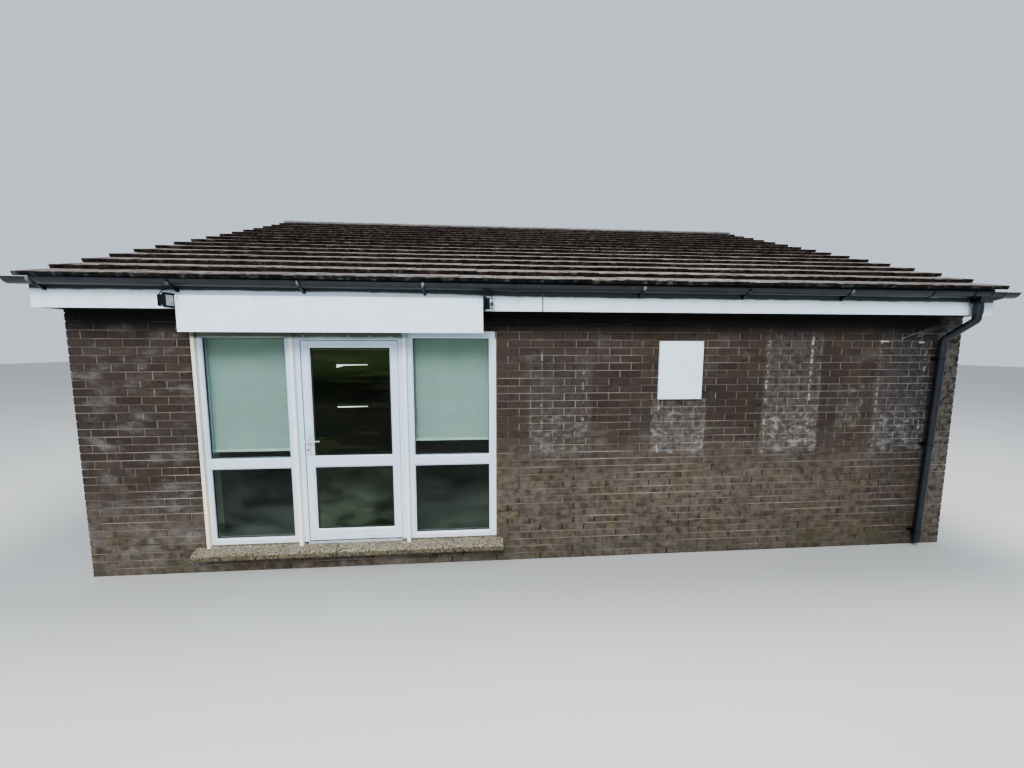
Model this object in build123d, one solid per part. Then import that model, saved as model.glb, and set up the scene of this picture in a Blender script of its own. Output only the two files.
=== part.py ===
from build123d import *
import math
import os

# Single-storey brick corner shop with a tiled gable roof, in millimetres.
# X runs along the shop front, Y from the front to the back and Z up.
# The origin lies at ground level under the middle of the walls.

# Brickwork module
brick_length = 215.0
brick_height = 65.0
mortar_joint = 10.0
brick_pitch = brick_length + mortar_joint
course_pitch = brick_height + mortar_joint

# Walls, counted in bricks
front_bricks = 39
side_bricks = 38
right_wall_bricks = 22
opening_head_courses = 31
under_sill_courses = 2
wall_thickness = 275.0
left_pier_width = 1025.0

# Floor and ceiling
floor_level = 250.0
ceiling_board = 12.5

# Roof
roof_pitch = 22.0
tile_courses = 16
tile_butt = 30.0
roof_bed = 50.0
eaves_overhang = 236.0
verge_overhang = 125.0
eaves_tip_height = 2782.0
undercloak_thickness = 15.0
undercloak_set_in = 15.0

# Ridge
ridge_tile_length = 450.0
ridge_tile_wing = 150.0
ridge_tile_thickness = 25.0
ridge_tile_joint = 4.0
ridge_bed_share = 0.8

# Eaves boards
fascia_front = 185.0
fascia_thickness = 20.0
soffit_below_tips = 282.0
soffit_board = 10.0
box_end_projection = 55.0
box_end_return = 120.0
box_end_board = 10.0
joint_cover_offset = -142.0
joint_cover_width = 10.0
end_trim_inset = 202.0
end_trim_width = 30.0
trim_thickness = 4.0

# Gutter
gutter_width = 112.0
gutter_depth = 52.0
gutter_wall = 3.0
gutter_below_tips = 68.0
gutter_fall = 20.0
gutter_left_overrun = 10.0
gutter_right_overrun = 48.0
fitting_thickness = 6.0
bracket_width = 22.0
bracket_leg = 42.0
bracket_arm = 30.0
left_bracket_inset = 192.0
left_bracket_spacing = 1037.0
left_bracket_count = 4
right_bracket_inset = 3739.0
right_bracket_spacing = 1010.0
right_bracket_count = 3
union_width = 90.0
union_thickness = 4.0
union_rib_width = 9.0
middle_union_offset = -397.0
right_union_inset = 708.0

# Downpipe
pipe_diameter = 68.0
pipe_wall = 3.0
pipe_play = 0.3
pipe_stand_off = 60.0
pipe_bend_radius = 55.0
outlet_inset = 197.0
outlet_left_reach = 116.0
outlet_right_reach = 204.0
outlet_middle_rib = 66.0
outlet_body_depth = 84.0
outlet_body_drop = 46.0
outlet_tip_drop = 8.0
outlet_spigot = 58.0
outlet_drop = 214.0
swan_neck_shift = 85.0
swan_foot_below_soffit = 244.0
pipe_foot_shift = 65.0
pipe_foot_height = 60.0
socket_thickness = 5.0
upper_socket_length = 90.0
upper_socket_below_gutter = 112.0
lower_socket_length = 50.0
lower_socket_below_bend = 95.0
top_clip_below_bend = 196.0
lower_clip_heights = (1140.0, 170.0)
pipe_clip_height = 28.0
pipe_clip_thickness = 5.0
pipe_clip_plate = 90.0

# Shopfront frames
frame_set_back = 10.0
frame_depth = 70.0
sill_to_frame = 102.0
frame_stile = 58.0
frame_head = 67.0
frame_bottom_rail = 57.0
bead_width = 14.0
bead_depth = 10.0
left_post_width = 35.0
left_cover_inset = 20.0
left_cover_width = 34.0
left_cover_projection = 30.0
right_trim_width = 20.0
window_width = 843.0
coupler_width = 30.0
coupler_cover_width = 36.0
coupler_cover_projection = 33.0
cover_rounding = 6.0
door_frame_width = 1000.0
window_transom_height = 105.0
transom_above_frame_bottom = 743.0
glass_thickness = 24.0
glass_set_back = 25.0

# Door frame and leaf
jamb_width = 50.0
door_head_height = 86.0
threshold_height = 4.0
threshold_nose = 20.0
threshold_lip = 9.0
leaf_gap = 6.0
leaf_thickness = 60.0
leaf_stile = 76.0
leaf_top_rail = 66.0
leaf_bottom_rail = 110.0
leaf_mid_rail_height = 115.0

# Door hinges
hinge_stand_off = 14.0
hinge_radius = 8.0
hinge_sides = 12
hinge_length = 95.0
hinge_play = 0.3
hinge_plate_width = 42.0
hinge_plate_thickness = 9.0
hinge_end_inset = 160.0
hinge_count = 3

# Door handles
handle_above_leaf = 1001.0
handle_inset = 28.0
backplate_width = 44.0
backplate_height = 236.0
backplate_drop = 26.0
backplate_thickness = 9.0
backplate_corner = 10.0
lever_projection = 48.0
lever_length = 118.0
lever_radius = 7.0
lever_tip = 9.0
lever_boss_radius = 12.0
cylinder_drop = 87.0
cylinder_radius = 9.0
cylinder_projection = 5.0

# Sill slabs
sill_bed = 15.0
sill_nose_height = 53.0
sill_step = 12.0
sill_projection = 100.0
sill_left_overrun = 82.0
sill_right_overrun = 57.0
sill_joint_offset = 1245.0
sill_joint_gap = 8.0
sill_inner = 175.0
sill_nose_chamfer = 8.0

# Sign board and wall plaque
sign_offset = 64.0
sign_width = 2606.0
sign_height = 310.0
sign_below_soffit = 199.0
sign_thickness = 25.0
plaque_offset = 1625.0
plaque_width = 492.0
plaque_height = 604.0
plaque_bottom = 1632.0
plaque_thickness = 22.0

# Floodlights
light_frame_height = 122.0
light_frame_depth = 112.0
light_frame_thickness = 14.0
light_lens_border = 9.0
light_lens_recess = 4.0
light_body_length = 20.0
light_body_height = 84.0
light_body_depth = 76.0
fin_length = 24.0
fin_thickness = 4.0
fin_count = 8
yoke_length = 74.0
yoke_strap = 3.0
yoke_depth = 30.0
yoke_clearance = 3.0
light_above_soffit = 60.0
light_stand_off = 66.0
light_arm_length = 14.0
light_arm_height = 26.0
left_light_gap = 4.0
right_light_gap = 1.0
lead_diameter = 7.0
lead_start = 10.0
lead_rise = 50.0
lead_flat = 24.0

# Roller blinds
blind_stand_off = 26.0
blind_roller_radius = 18.0
blind_below_head = 33.0
blind_thickness = 2.0
blind_bar_height = 26.0
blind_bar_thickness = 8.0
left_blind_bottom = 1191.0
right_blind_bottom = 1270.0
blind_bracket_width = 4.0
blind_side_inset = 10.0

# Sizes that follow from those above
wall_width = front_bricks * brick_pitch - mortar_joint
wall_depth = side_bricks * brick_pitch - mortar_joint
half_width = wall_width / 2
front = -wall_depth / 2
wall_inner = front + wall_thickness
opening_left = -half_width + left_pier_width
opening_right = half_width - (right_wall_bricks * brick_pitch - mortar_joint)
opening_head = opening_head_courses * course_pitch
soffit_level = eaves_tip_height - soffit_below_tips
ceiling_level = soffit_level
slope = math.radians(roof_pitch)
verge = half_width + verge_overhang
fascia_face = front - fascia_front
fascia_back = fascia_face + fascia_thickness
gutter_radius = gutter_width / 2
gutter_y = fascia_face - fitting_thickness - gutter_radius
gutter_rim = eaves_tip_height - gutter_below_tips
gutter_bottom = gutter_rim - gutter_depth
outlet_x = half_width - outlet_inset
swan_foot_height = soffit_level - swan_foot_below_soffit
sill_bottom = under_sill_courses * course_pitch + sill_bed
sill_nose = front - sill_projection
sill_nose_top = sill_bottom + sill_nose_height
frame_bottom = sill_bottom + sill_to_frame
frame_top = opening_head
frame_front = front + frame_set_back
frame_back = frame_front + frame_depth
sill_step_back = frame_front + sill_step
left_window_left = opening_left + left_post_width
left_window_right = left_window_left + window_width
door_frame_left = left_window_right + coupler_width
door_frame_right = door_frame_left + door_frame_width
right_window_left = door_frame_right + coupler_width
right_window_right = opening_right - right_trim_width
transom_bottom = frame_bottom + transom_above_frame_bottom
leaf_left = door_frame_left + jamb_width + leaf_gap
leaf_right = door_frame_right - jamb_width - leaf_gap
leaf_bottom = frame_bottom + threshold_height + leaf_gap
leaf_top = frame_top - door_head_height - leaf_gap
leaf_front = frame_back - leaf_thickness
hinge_x = leaf_right + leaf_gap / 2
hinge_y = frame_back + hinge_stand_off
handle_height = leaf_bottom + handle_above_leaf
sign_left = opening_left + sign_offset
sign_right = sign_left + sign_width


# Helpers
def block(x0, x1, y0, y1, z0, z1):
    """Box between two corners."""
    size = Box(x1 - x0, y1 - y0, z1 - z0)
    return Pos((x0 + x1) / 2, (y0 + y1) / 2, (z0 + z1) / 2) * size


def run_along_x(section, x0, x1):
    """Extrude a section drawn with Y across and Z up."""
    return extrude(Plane.YZ.offset(x0) * section, amount=x1 - x0)


def along_x(points, x0, x1):
    return run_along_x(make_face(Polyline(*points, close=True)), x0, x1)


def to_back(shape):
    """The same piece on the back of the building."""
    return Rot(0, 0, 180) * shape


def both_sides(shape):
    """A front piece and its twin at the back."""
    pieces = shape if isinstance(shape, list) else [shape]
    return pieces + [to_back(piece) for piece in pieces]


def tip_height(behind_wall_face):
    """Height of the line through the lower edges of the tiles."""
    return eaves_tip_height + (behind_wall_face + eaves_overhang) * math.tan(slope)


def tile_underside(behind_wall_face):
    return tip_height(behind_wall_face) - tile_butt / math.cos(slope)


def roof_underside(behind_wall_face):
    return tile_underside(behind_wall_face) - roof_bed / math.cos(slope)


def sill_top(y):
    """Height of the sloping top of the sill in front of the frames."""
    share = (y - sill_nose) / (frame_front - sill_nose)
    return sill_nose_top + (frame_bottom - sill_step - sill_nose_top) * share


# Walls, floor and ceiling
def front_wall_piece(x0, x1, bottom):
    """Stretch of front wall with its top cut to the roof slope."""
    outline = [
        (front, bottom),
        (wall_inner, bottom),
        (wall_inner, roof_underside(wall_thickness)),
        (front, roof_underside(0)),
    ]
    return along_x(outline, x0, x1)


def front_wall_left():
    return front_wall_piece(-half_width, opening_left, 0)


def front_wall_right():
    return front_wall_piece(opening_right, half_width, 0)


def front_wall_over_shopfront():
    return front_wall_piece(opening_left, opening_right, opening_head)


def front_wall_under_shopfront():
    return block(opening_left, opening_right, front, front + sill_inner, 0, sill_bottom)


def back_wall():
    return to_back(front_wall_piece(-half_width, half_width, 0))


def gable_wall(inner_x, outer_x):
    """Side wall that rises to the ridge."""
    outline = [
        (wall_inner, 0),
        (-wall_inner, 0),
        (-wall_inner, roof_underside(wall_thickness)),
        (0, roof_underside(-front)),
        (wall_inner, roof_underside(wall_thickness)),
    ]
    return along_x(outline, min(inner_x, outer_x), max(inner_x, outer_x))


def left_gable_wall():
    return gable_wall(-half_width + wall_thickness, -half_width)


def right_gable_wall():
    return gable_wall(half_width - wall_thickness, half_width)


def floor_slab():
    """Floor of the room, carried on to the back of the sill."""
    inside = half_width - wall_thickness
    room = block(-inside, inside, wall_inner, -wall_inner, 0, floor_level)
    strip = block(opening_left, opening_right, front + sill_inner, wall_inner, 0, floor_level)
    return room + strip


def ceiling():
    inside = half_width - wall_thickness
    return block(-inside, inside, wall_inner, -wall_inner, ceiling_level, ceiling_level + ceiling_board)


# Roof
def roof_front():
    """Tiled slope whose top steps down at the edge of each course."""
    course_run = (eaves_overhang - front) / tile_courses
    course_rise = course_run * math.tan(slope)
    butt_y = tile_butt * math.sin(slope)
    butt_z = tile_butt * math.cos(slope)
    edge = front - eaves_overhang
    behind = fascia_thickness - fascia_front
    points = [
        (edge + butt_y, eaves_tip_height - butt_z),
        (fascia_back, tile_underside(behind)),
        (fascia_back, roof_underside(behind)),
        (0, roof_underside(-front)),
        (0, tile_underside(-front)),
    ]
    for course in reversed(range(tile_courses)):
        tip = (edge + course_run * course, eaves_tip_height + course_rise * course)
        if course < tile_courses - 1:
            points.append((tip[0] + course_run + butt_y, tip[1] + course_rise - butt_z))
        points.append(tip)
    return along_x(points, -verge, verge)


def ridge_section(reach, lift):
    """Angle over the ridge, as wide as reach on each side."""
    top = tip_height(-front)
    drop = reach * math.tan(slope)
    return [
        (-reach, top - drop + lift),
        (0, top + lift),
        (reach, top - drop + lift),
    ]


def ridge_tiles():
    """Angled ridge tiles end to end, on a bed that fills the top of the slopes."""
    reach = ridge_tile_wing * math.cos(slope)
    lift = ridge_tile_thickness / math.cos(slope)
    outline = ridge_section(reach, lift) + list(reversed(ridge_section(reach, 0)))
    count = round(2 * verge / ridge_tile_length)
    pitch = 2 * verge / count
    row = [
        along_x(outline, pitch * number - verge, pitch * (number + 1) - verge - ridge_tile_joint)
        for number in range(count)
    ]
    bed = ridge_section(reach * ridge_bed_share, 0) + [(0, tile_underside(-front))]
    return row + [along_x(bed, -verge, verge - ridge_tile_joint)]


def undercloaks():
    """Thin boards under the overhanging edges of the tiles."""
    behind = fascia_thickness - fascia_front
    drop = undercloak_thickness / math.cos(slope)
    outline = [
        (fascia_back, roof_underside(behind)),
        (0, roof_underside(-front)),
        (0, roof_underside(-front) - drop),
        (fascia_back, roof_underside(behind) - drop),
    ]
    outer = verge - undercloak_set_in
    left = along_x(outline, -outer, -half_width)
    right = along_x(outline, half_width, outer)
    return both_sides([left, right])


# Eaves boards
def fascia():
    outer = half_width + box_end_projection
    outline = [
        (fascia_face, soffit_level),
        (fascia_back, soffit_level),
        (fascia_back, tile_underside(fascia_thickness - fascia_front)),
        (fascia_face, tile_underside(-fascia_front)),
    ]
    return along_x(outline, -outer, outer)


def soffit():
    return block(-half_width, half_width, fascia_back, front, soffit_level, soffit_level + soffit_board)


def box_end():
    """Hollow box that closes the eaves at the right gable."""
    behind = fascia_thickness - fascia_front
    drop = undercloak_thickness / math.cos(slope)
    end = front + box_end_return
    board = box_end_board
    outline = [
        (fascia_back, soffit_level),
        (end, soffit_level),
        (end, roof_underside(box_end_return) - drop),
        (fascia_back, roof_underside(behind) - drop),
    ]
    hollow = [
        (fascia_back + board, soffit_level + board),
        (end - board, soffit_level + board),
        (end - board, roof_underside(box_end_return)),
        (fascia_back + board, roof_underside(behind)),
    ]
    outer = half_width + box_end_projection
    return along_x(outline, half_width, outer) - along_x(hollow, half_width, outer - board)


def box_ends():
    right = box_end()
    left = mirror(right, about=Plane.YZ)
    return both_sides([left, right])


def fascia_strip(middle, width):
    half = width / 2
    return block(middle - half, middle + half, fascia_face - trim_thickness, fascia_face, soffit_level, gutter_bottom)


def fascia_trims():
    """Covers over the joint in the front fascia and near its right end."""
    joint_cover = fascia_strip(joint_cover_offset, joint_cover_width)
    end_trim = fascia_strip(half_width - end_trim_inset, end_trim_width)
    return [joint_cover, end_trim]


# Gutter
def gutter_section(growth, above_rim):
    """Half-round channel, grown outward, filled up to above_rim over its rim."""
    radius = gutter_radius + growth
    height = gutter_depth + growth + above_rim
    band = Pos(gutter_y, gutter_bottom - growth + height / 2) * Rectangle(2 * radius, height)
    return (Pos(gutter_y, gutter_bottom + gutter_radius) * Circle(radius)) & band


def falling(shape):
    """Turn a piece of the gutter about the outlet, so that the gutter falls to it."""
    angle = math.degrees(math.atan(gutter_fall / (2 * verge)))
    outlet = Pos(outlet_x, 0, gutter_bottom)
    return outlet * Rot(0, angle, 0) * outlet.inverse() * shape


def outlet_hole():
    return Pos(outlet_x, gutter_y, gutter_bottom) * Cylinder(pipe_diameter / 2 - pipe_wall, gutter_depth)


def gutter():
    """Channel closed by a stop end at each end, with a hole at the outlet."""
    left = -verge - gutter_left_overrun
    right = verge + gutter_right_overrun
    shell = run_along_x(gutter_section(0, 0), left, right)
    channel = run_along_x(
        gutter_section(-gutter_wall, gutter_wall), left + gutter_wall, right - gutter_wall
    )
    return falling(shell - channel - outlet_hole())


def gutter_band(x0, x1, thickness):
    """Fitting that wraps the outside of the gutter."""
    outer = run_along_x(gutter_section(thickness, 0), x0, x1)
    return outer - run_along_x(gutter_section(0, thickness), x0, x1)


def ribbed_band(x0, x1):
    """Band with a raised rib round it at each end."""
    ribs = gutter_band(x0, x0 + union_rib_width, fitting_thickness)
    ribs += gutter_band(x1 - union_rib_width, x1, fitting_thickness)
    return gutter_band(x0, x1, union_thickness) + ribs


def gutter_bracket(middle):
    """Cradle for the gutter, with a leg on the fascia and a lip at the front."""
    half = bracket_width / 2
    lip = gutter_y - gutter_radius - fitting_thickness
    outline = [
        (fascia_face, gutter_bottom - bracket_leg),
        (fascia_face, gutter_rim),
        (lip, gutter_rim),
        (lip, gutter_rim - bracket_arm),
        (gutter_y - bracket_arm, gutter_bottom - fitting_thickness),
        (gutter_y, gutter_bottom - fitting_thickness),
        (fascia_face - fitting_thickness, gutter_bottom - bracket_leg),
    ]
    channel = run_along_x(gutter_section(0, fitting_thickness), middle - half, middle + half)
    return along_x(outline, middle - half, middle + half) - channel


def gutter_brackets():
    first_left = -verge + left_bracket_inset
    first_right = verge - right_bracket_inset
    places = [first_left + left_bracket_spacing * number for number in range(left_bracket_count)]
    places += [first_right + right_bracket_spacing * number for number in range(right_bracket_count)]
    return [falling(gutter_bracket(place)) for place in places]


def gutter_unions():
    """Unions between the lengths of gutter, and the outlet."""
    unions = []
    for place in (middle_union_offset, half_width - right_union_inset):
        band = gutter_band(place - union_width / 2, place + union_width / 2, fitting_thickness)
        unions.append(falling(band))
    return unions + [falling(running_outlet())]


def outlet_body():
    """Hopper under the outlet that tapers up to the right."""
    half = outlet_body_depth / 2
    reach = pipe_diameter / 2 + fitting_thickness
    low = gutter_bottom - outlet_body_drop
    outline = Polyline(
        (outlet_x - reach, gutter_bottom + gutter_depth / 2),
        (outlet_x - reach, low),
        (outlet_x + reach, low),
        (outlet_x + outlet_right_reach, gutter_bottom - outlet_tip_drop),
        (outlet_x + outlet_right_reach, gutter_bottom + gutter_depth / 2),
        close=True,
    )
    section = Plane.XZ.offset(-gutter_y - half) * make_face(outline)
    return extrude(section, amount=outlet_body_depth)


def running_outlet():
    """Ribbed band round the gutter with a hopper and a spigot that takes the downpipe."""
    radius = pipe_diameter / 2
    left = outlet_x - outlet_left_reach
    right = outlet_x + outlet_right_reach
    spigot = Pos(outlet_x, gutter_y, gutter_bottom - outlet_spigot / 2) * Cylinder(
        radius + fitting_thickness, outlet_spigot
    )
    socket = Pos(outlet_x, gutter_y, gutter_bottom - fitting_thickness - outlet_spigot / 2) * Cylinder(
        radius + pipe_play, outlet_spigot
    )
    channel = run_along_x(gutter_section(0, fitting_thickness), left, right)
    rib_middle = outlet_x + outlet_middle_rib
    rib = gutter_band(rib_middle - union_rib_width / 2, rib_middle + union_rib_width / 2, fitting_thickness)
    return ribbed_band(left, right) + rib + (outlet_body() + spigot - channel) - socket - outlet_hole()


# Downpipe
def downpipe_points():
    pipe_y = front - pipe_stand_off
    foot_x = outlet_x - swan_neck_shift
    return [
        (outlet_x, gutter_y, gutter_bottom - fitting_thickness - pipe_play),
        (outlet_x, gutter_y, gutter_bottom - outlet_drop),
        (foot_x, pipe_y, swan_foot_height),
        (foot_x - pipe_foot_shift, pipe_y, pipe_foot_height),
    ]


def mitred(points, radius):
    """Line through the points with each corner in two mitres round an arc of the radius."""
    corners = [Vector(*point) for point in points]
    line = [corners[0]]
    for before, corner, after in zip(corners, corners[1:], corners[2:]):
        back = (before - corner).normalized()
        onward = (after - corner).normalized()
        turn = math.radians(180 - back.get_angle(onward))
        reach = radius * (math.tan(turn / 2) - math.tan(turn / 4))
        line += [corner + back * reach, corner + onward * reach]
    return Polyline(*line, corners[-1])


def downpipe():
    """Pipe with a swan neck of mitred bends from the gutter back to the wall."""
    path = mitred(downpipe_points(), pipe_bend_radius)
    start = Plane(origin=path @ 0, z_dir=path % 0)
    outer = sweep(start * Circle(pipe_diameter / 2), path=path, transition=Transition.RIGHT)
    inner = sweep(start * Circle(pipe_diameter / 2 - pipe_wall), path=path, transition=Transition.RIGHT)
    return outer - inner


def on_pipe(height, piece):
    """Place a piece on the leaning pipe at a height, with its axis along the pipe."""
    swan_foot = downpipe_points()[2]
    tilt = pipe_foot_shift / (swan_foot_height - pipe_foot_height)
    x = swan_foot[0] - (swan_foot_height - height) * tilt
    return Pos(x, swan_foot[1], height) * Rot(0, math.degrees(math.atan(tilt)), 0) * piece


def pipe_ring(thickness, length):
    return Cylinder(pipe_diameter / 2 + thickness, length) - Cylinder(pipe_diameter / 2, 2 * length)


def downpipe_sockets():
    """Collars where the swan neck joins the straight pipes."""
    upper = pipe_ring(socket_thickness, upper_socket_length)
    lower = pipe_ring(socket_thickness, lower_socket_length)
    return [
        Pos(outlet_x, gutter_y, gutter_bottom - upper_socket_below_gutter) * upper,
        on_pipe(swan_foot_height - lower_socket_below_bend, lower),
    ]


def pipe_clips():
    """Clips that hold the pipe off the wall."""
    arm = Pos(0, pipe_stand_off / 2) * Rectangle(pipe_diameter / 2, pipe_stand_off)
    plate = Pos(0, pipe_stand_off - pipe_clip_thickness / 2) * Rectangle(pipe_clip_plate, pipe_clip_thickness)
    outline = Circle(pipe_diameter / 2 + pipe_clip_thickness) + arm + plate - Circle(pipe_diameter / 2)
    clip = Pos(0, 0, -pipe_clip_height / 2) * extrude(outline, amount=pipe_clip_height)
    return [on_pipe(height, clip) for height in (swan_foot_height - top_clip_below_bend, *lower_clip_heights)]


# Shopfront
def pane_heights():
    """Lower and upper pane of a window."""
    lower = (frame_bottom + frame_bottom_rail, transom_bottom)
    upper = (transom_bottom + window_transom_height, frame_top - frame_head)
    return (lower, upper)


def glazed_hole(x0, x1, y0, y1, z0, z1):
    """Hole for a pane, with a sloping bead round its outer edge."""
    hole = block(x0, x1, y0, y1, z0, z1)
    mouth = Plane.XZ.offset(-y0) * (Pos((x0 + x1) / 2, (z0 + z1) / 2) * Rectangle(x1 - x0, z1 - z0))
    flare = Plane.XZ.offset(-y0) * (
        Pos((x0 + x1) / 2, (z0 + z1) / 2) * Rectangle(x1 - x0 + 2 * bead_width, z1 - z0 + 2 * bead_width)
    )
    throat = Pos(0, bead_depth, 0) * mouth
    return hole + loft([flare, throat])


def window_frame(left, right):
    """Window frame with a transom between its two panes."""
    frame = block(left, right, frame_front, frame_back, frame_bottom, frame_top)
    for low, high in pane_heights():
        frame -= glazed_hole(left + frame_stile, right - frame_stile, frame_front, frame_back, low, high)
    return frame


def window_glass(left, right):
    near = frame_front + glass_set_back
    return [
        block(left + frame_stile, right - frame_stile, near, near + glass_thickness, low, high)
        for low, high in pane_heights()
    ]


def couplers():
    """Posts that join the frames."""
    return [
        block(left_window_right, door_frame_left, frame_front, frame_back, frame_bottom, frame_top),
        block(door_frame_right, right_window_left, frame_front, frame_back, frame_bottom, frame_top),
    ]


def cover_strip(left, width, projection):
    """Rounded strip in front of the frames whose foot follows the sloping sill."""
    outer = frame_front - projection
    outline = [
        (outer, sill_top(outer)),
        (frame_front, sill_top(frame_front)),
        (frame_front, frame_top),
        (outer, frame_top),
    ]
    strip = along_x(outline, left, left + width)
    edges = strip.edges().filter_by(Axis.Z).group_by(Axis.Y)[0]
    return fillet(edges, cover_rounding)


def coupler_covers():
    """Strips over the joints between the frames."""
    middles = ((left_window_right + door_frame_left) / 2, (door_frame_right + right_window_left) / 2)
    return [
        cover_strip(middle - coupler_cover_width / 2, coupler_cover_width, coupler_cover_projection)
        for middle in middles
    ]


def side_posts():
    """Filler with a cover strip at the left of the shopfront, and a trim at its right."""
    filler = block(opening_left, left_window_left, frame_front, frame_back, frame_bottom, frame_top)
    cover = cover_strip(opening_left + left_cover_inset, left_cover_width, left_cover_projection)
    trim = block(right_window_right, opening_right, frame_front, frame_back, frame_bottom, frame_top)
    return [filler + cover, trim]


def door_jambs():
    inner_left = door_frame_left + jamb_width
    inner_right = door_frame_right - jamb_width
    return [
        block(door_frame_left, inner_left, frame_front, frame_back, frame_bottom, frame_top),
        block(inner_right, door_frame_right, frame_front, frame_back, frame_bottom, frame_top),
    ]


def door_head():
    inner_left = door_frame_left + jamb_width
    inner_right = door_frame_right - jamb_width
    return block(inner_left, inner_right, frame_front, frame_back, frame_top - door_head_height, frame_top)


def door_threshold():
    """Metal strip that slopes down to a nose on the sill."""
    nose = frame_front - threshold_nose
    top = frame_bottom + threshold_height
    outline = [
        (nose, sill_top(nose)),
        (frame_front, sill_top(frame_front)),
        (sill_step_back, sill_top(frame_front)),
        (sill_step_back, frame_bottom),
        (frame_back, frame_bottom),
        (frame_back, top),
        (frame_front, top),
        (nose, sill_top(nose) + threshold_lip),
    ]
    return along_x(outline, door_frame_left + jamb_width, door_frame_right - jamb_width)


def sill_slabs():
    """Two concrete slabs that carry the frames on a step and slope down to a chamfered nose."""
    chamfer_end = sill_nose + sill_nose_chamfer
    outside = [
        (sill_nose, sill_bottom),
        (front, sill_bottom),
        (front, sill_top(front)),
        (chamfer_end, sill_top(chamfer_end)),
        (sill_nose, sill_nose_top - sill_nose_chamfer),
    ]
    inside = [
        (front, sill_bottom),
        (front + sill_inner, sill_bottom),
        (front + sill_inner, frame_bottom),
        (sill_step_back, frame_bottom),
        (sill_step_back, sill_top(frame_front)),
        (frame_front, sill_top(frame_front)),
        (front, sill_top(front)),
    ]
    joint = opening_left + sill_joint_offset
    half = sill_joint_gap / 2
    left = along_x(outside, opening_left - sill_left_overrun, joint - half)
    left += along_x(inside, opening_left, joint - half)
    right = along_x(outside, joint + half, opening_right + sill_right_overrun)
    right += along_x(inside, joint + half, opening_right)
    return [left, right]


# Door
def leaf_panes():
    """Lower and upper pane of the door."""
    lower = (leaf_bottom + leaf_bottom_rail, transom_bottom)
    upper = (transom_bottom + leaf_mid_rail_height, leaf_top - leaf_top_rail)
    return (lower, upper)


def door_leaf():
    leaf = block(leaf_left, leaf_right, leaf_front, frame_back, leaf_bottom, leaf_top)
    for low, high in leaf_panes():
        leaf -= glazed_hole(leaf_left + leaf_stile, leaf_right - leaf_stile, leaf_front, frame_back, low, high)
    return leaf


def door_glass():
    near = (leaf_front + frame_back - glass_thickness) / 2
    return [
        block(leaf_left + leaf_stile, leaf_right - leaf_stile, near, near + glass_thickness, low, high)
        for low, high in leaf_panes()
    ]


def hinge_half(height, side):
    """Barrel half with its plate, on the leaf at side -1 or on the jamb at side 1."""
    length = (hinge_length - hinge_play) / 2
    middle = height - side * (hinge_length + hinge_play) / 4
    section = RegularPolygon(hinge_radius, hinge_sides)
    barrel = Pos(hinge_x, hinge_y, middle - length / 2) * extrude(section, amount=length)
    near = hinge_x + side * leaf_gap / 2
    far = hinge_x + side * hinge_plate_width
    plate = block(
        min(near, far),
        max(near, far),
        frame_back,
        frame_back + hinge_plate_thickness,
        middle - length / 2,
        middle + length / 2,
    )
    return barrel + plate


def hinge_heights():
    lowest = leaf_bottom + hinge_end_inset
    spacing = (leaf_top - hinge_end_inset - lowest) / (hinge_count - 1)
    return [lowest + spacing * number for number in range(hinge_count)]


def door_hinges():
    return [hinge_half(height, -1) for height in hinge_heights()]


def jamb_hinges():
    return [hinge_half(height, 1) for height in hinge_heights()]


def across_y(x, near, far, height, radius):
    """Round bar from one Y to another."""
    return Pos(x, (near + far) / 2, height) * Rot(90, 0, 0) * Cylinder(radius, abs(far - near))


def lever_handle(face, outward):
    """Backplate, lever and lock cylinder on one face of the leaf."""
    x = leaf_left + handle_inset
    plate_face = face + outward * backplate_thickness
    plate_middle = handle_height - backplate_drop
    plate = block(
        x - backplate_width / 2,
        x + backplate_width / 2,
        min(face, plate_face),
        max(face, plate_face),
        plate_middle - backplate_height / 2,
        plate_middle + backplate_height / 2,
    )
    plate = chamfer(plate.edges().filter_by(Axis.Y), backplate_corner)
    grip_y = face + outward * (lever_projection - lever_radius)
    end_y = grip_y + outward * lever_radius
    neck = across_y(x, face, end_y, handle_height, lever_boss_radius)
    grip = Plane.YZ.offset(x) * (Pos(grip_y, handle_height) * Rectangle(2 * lever_radius, 2 * lever_radius))
    tip = Plane.YZ.offset(x + lever_length) * (Pos(grip_y, handle_height) * Rectangle(lever_radius, lever_tip))
    lever = loft([grip, tip])
    lock_y = plate_face + outward * cylinder_projection
    lock = across_y(x, face, lock_y, handle_height - cylinder_drop, cylinder_radius)
    return plate + neck + lever + lock


def door_handles():
    return [lever_handle(leaf_front, -1), lever_handle(frame_back, 1)]


# Sign board, plaque and lights
def sign_board():
    bottom = soffit_level - sign_below_soffit
    return block(sign_left, sign_right, fascia_face - sign_thickness, fascia_face, bottom, bottom + sign_height)


def wall_plaque():
    left = opening_right + plaque_offset
    top = plaque_bottom + plaque_height
    return block(left, left + plaque_width, front - plaque_thickness, front, plaque_bottom, top)


def across(x0, x1, depth, height):
    """Box from one X to another, centred in depth and height."""
    return block(x0, x1, -depth / 2, depth / 2, -height / 2, height / 2)


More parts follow.
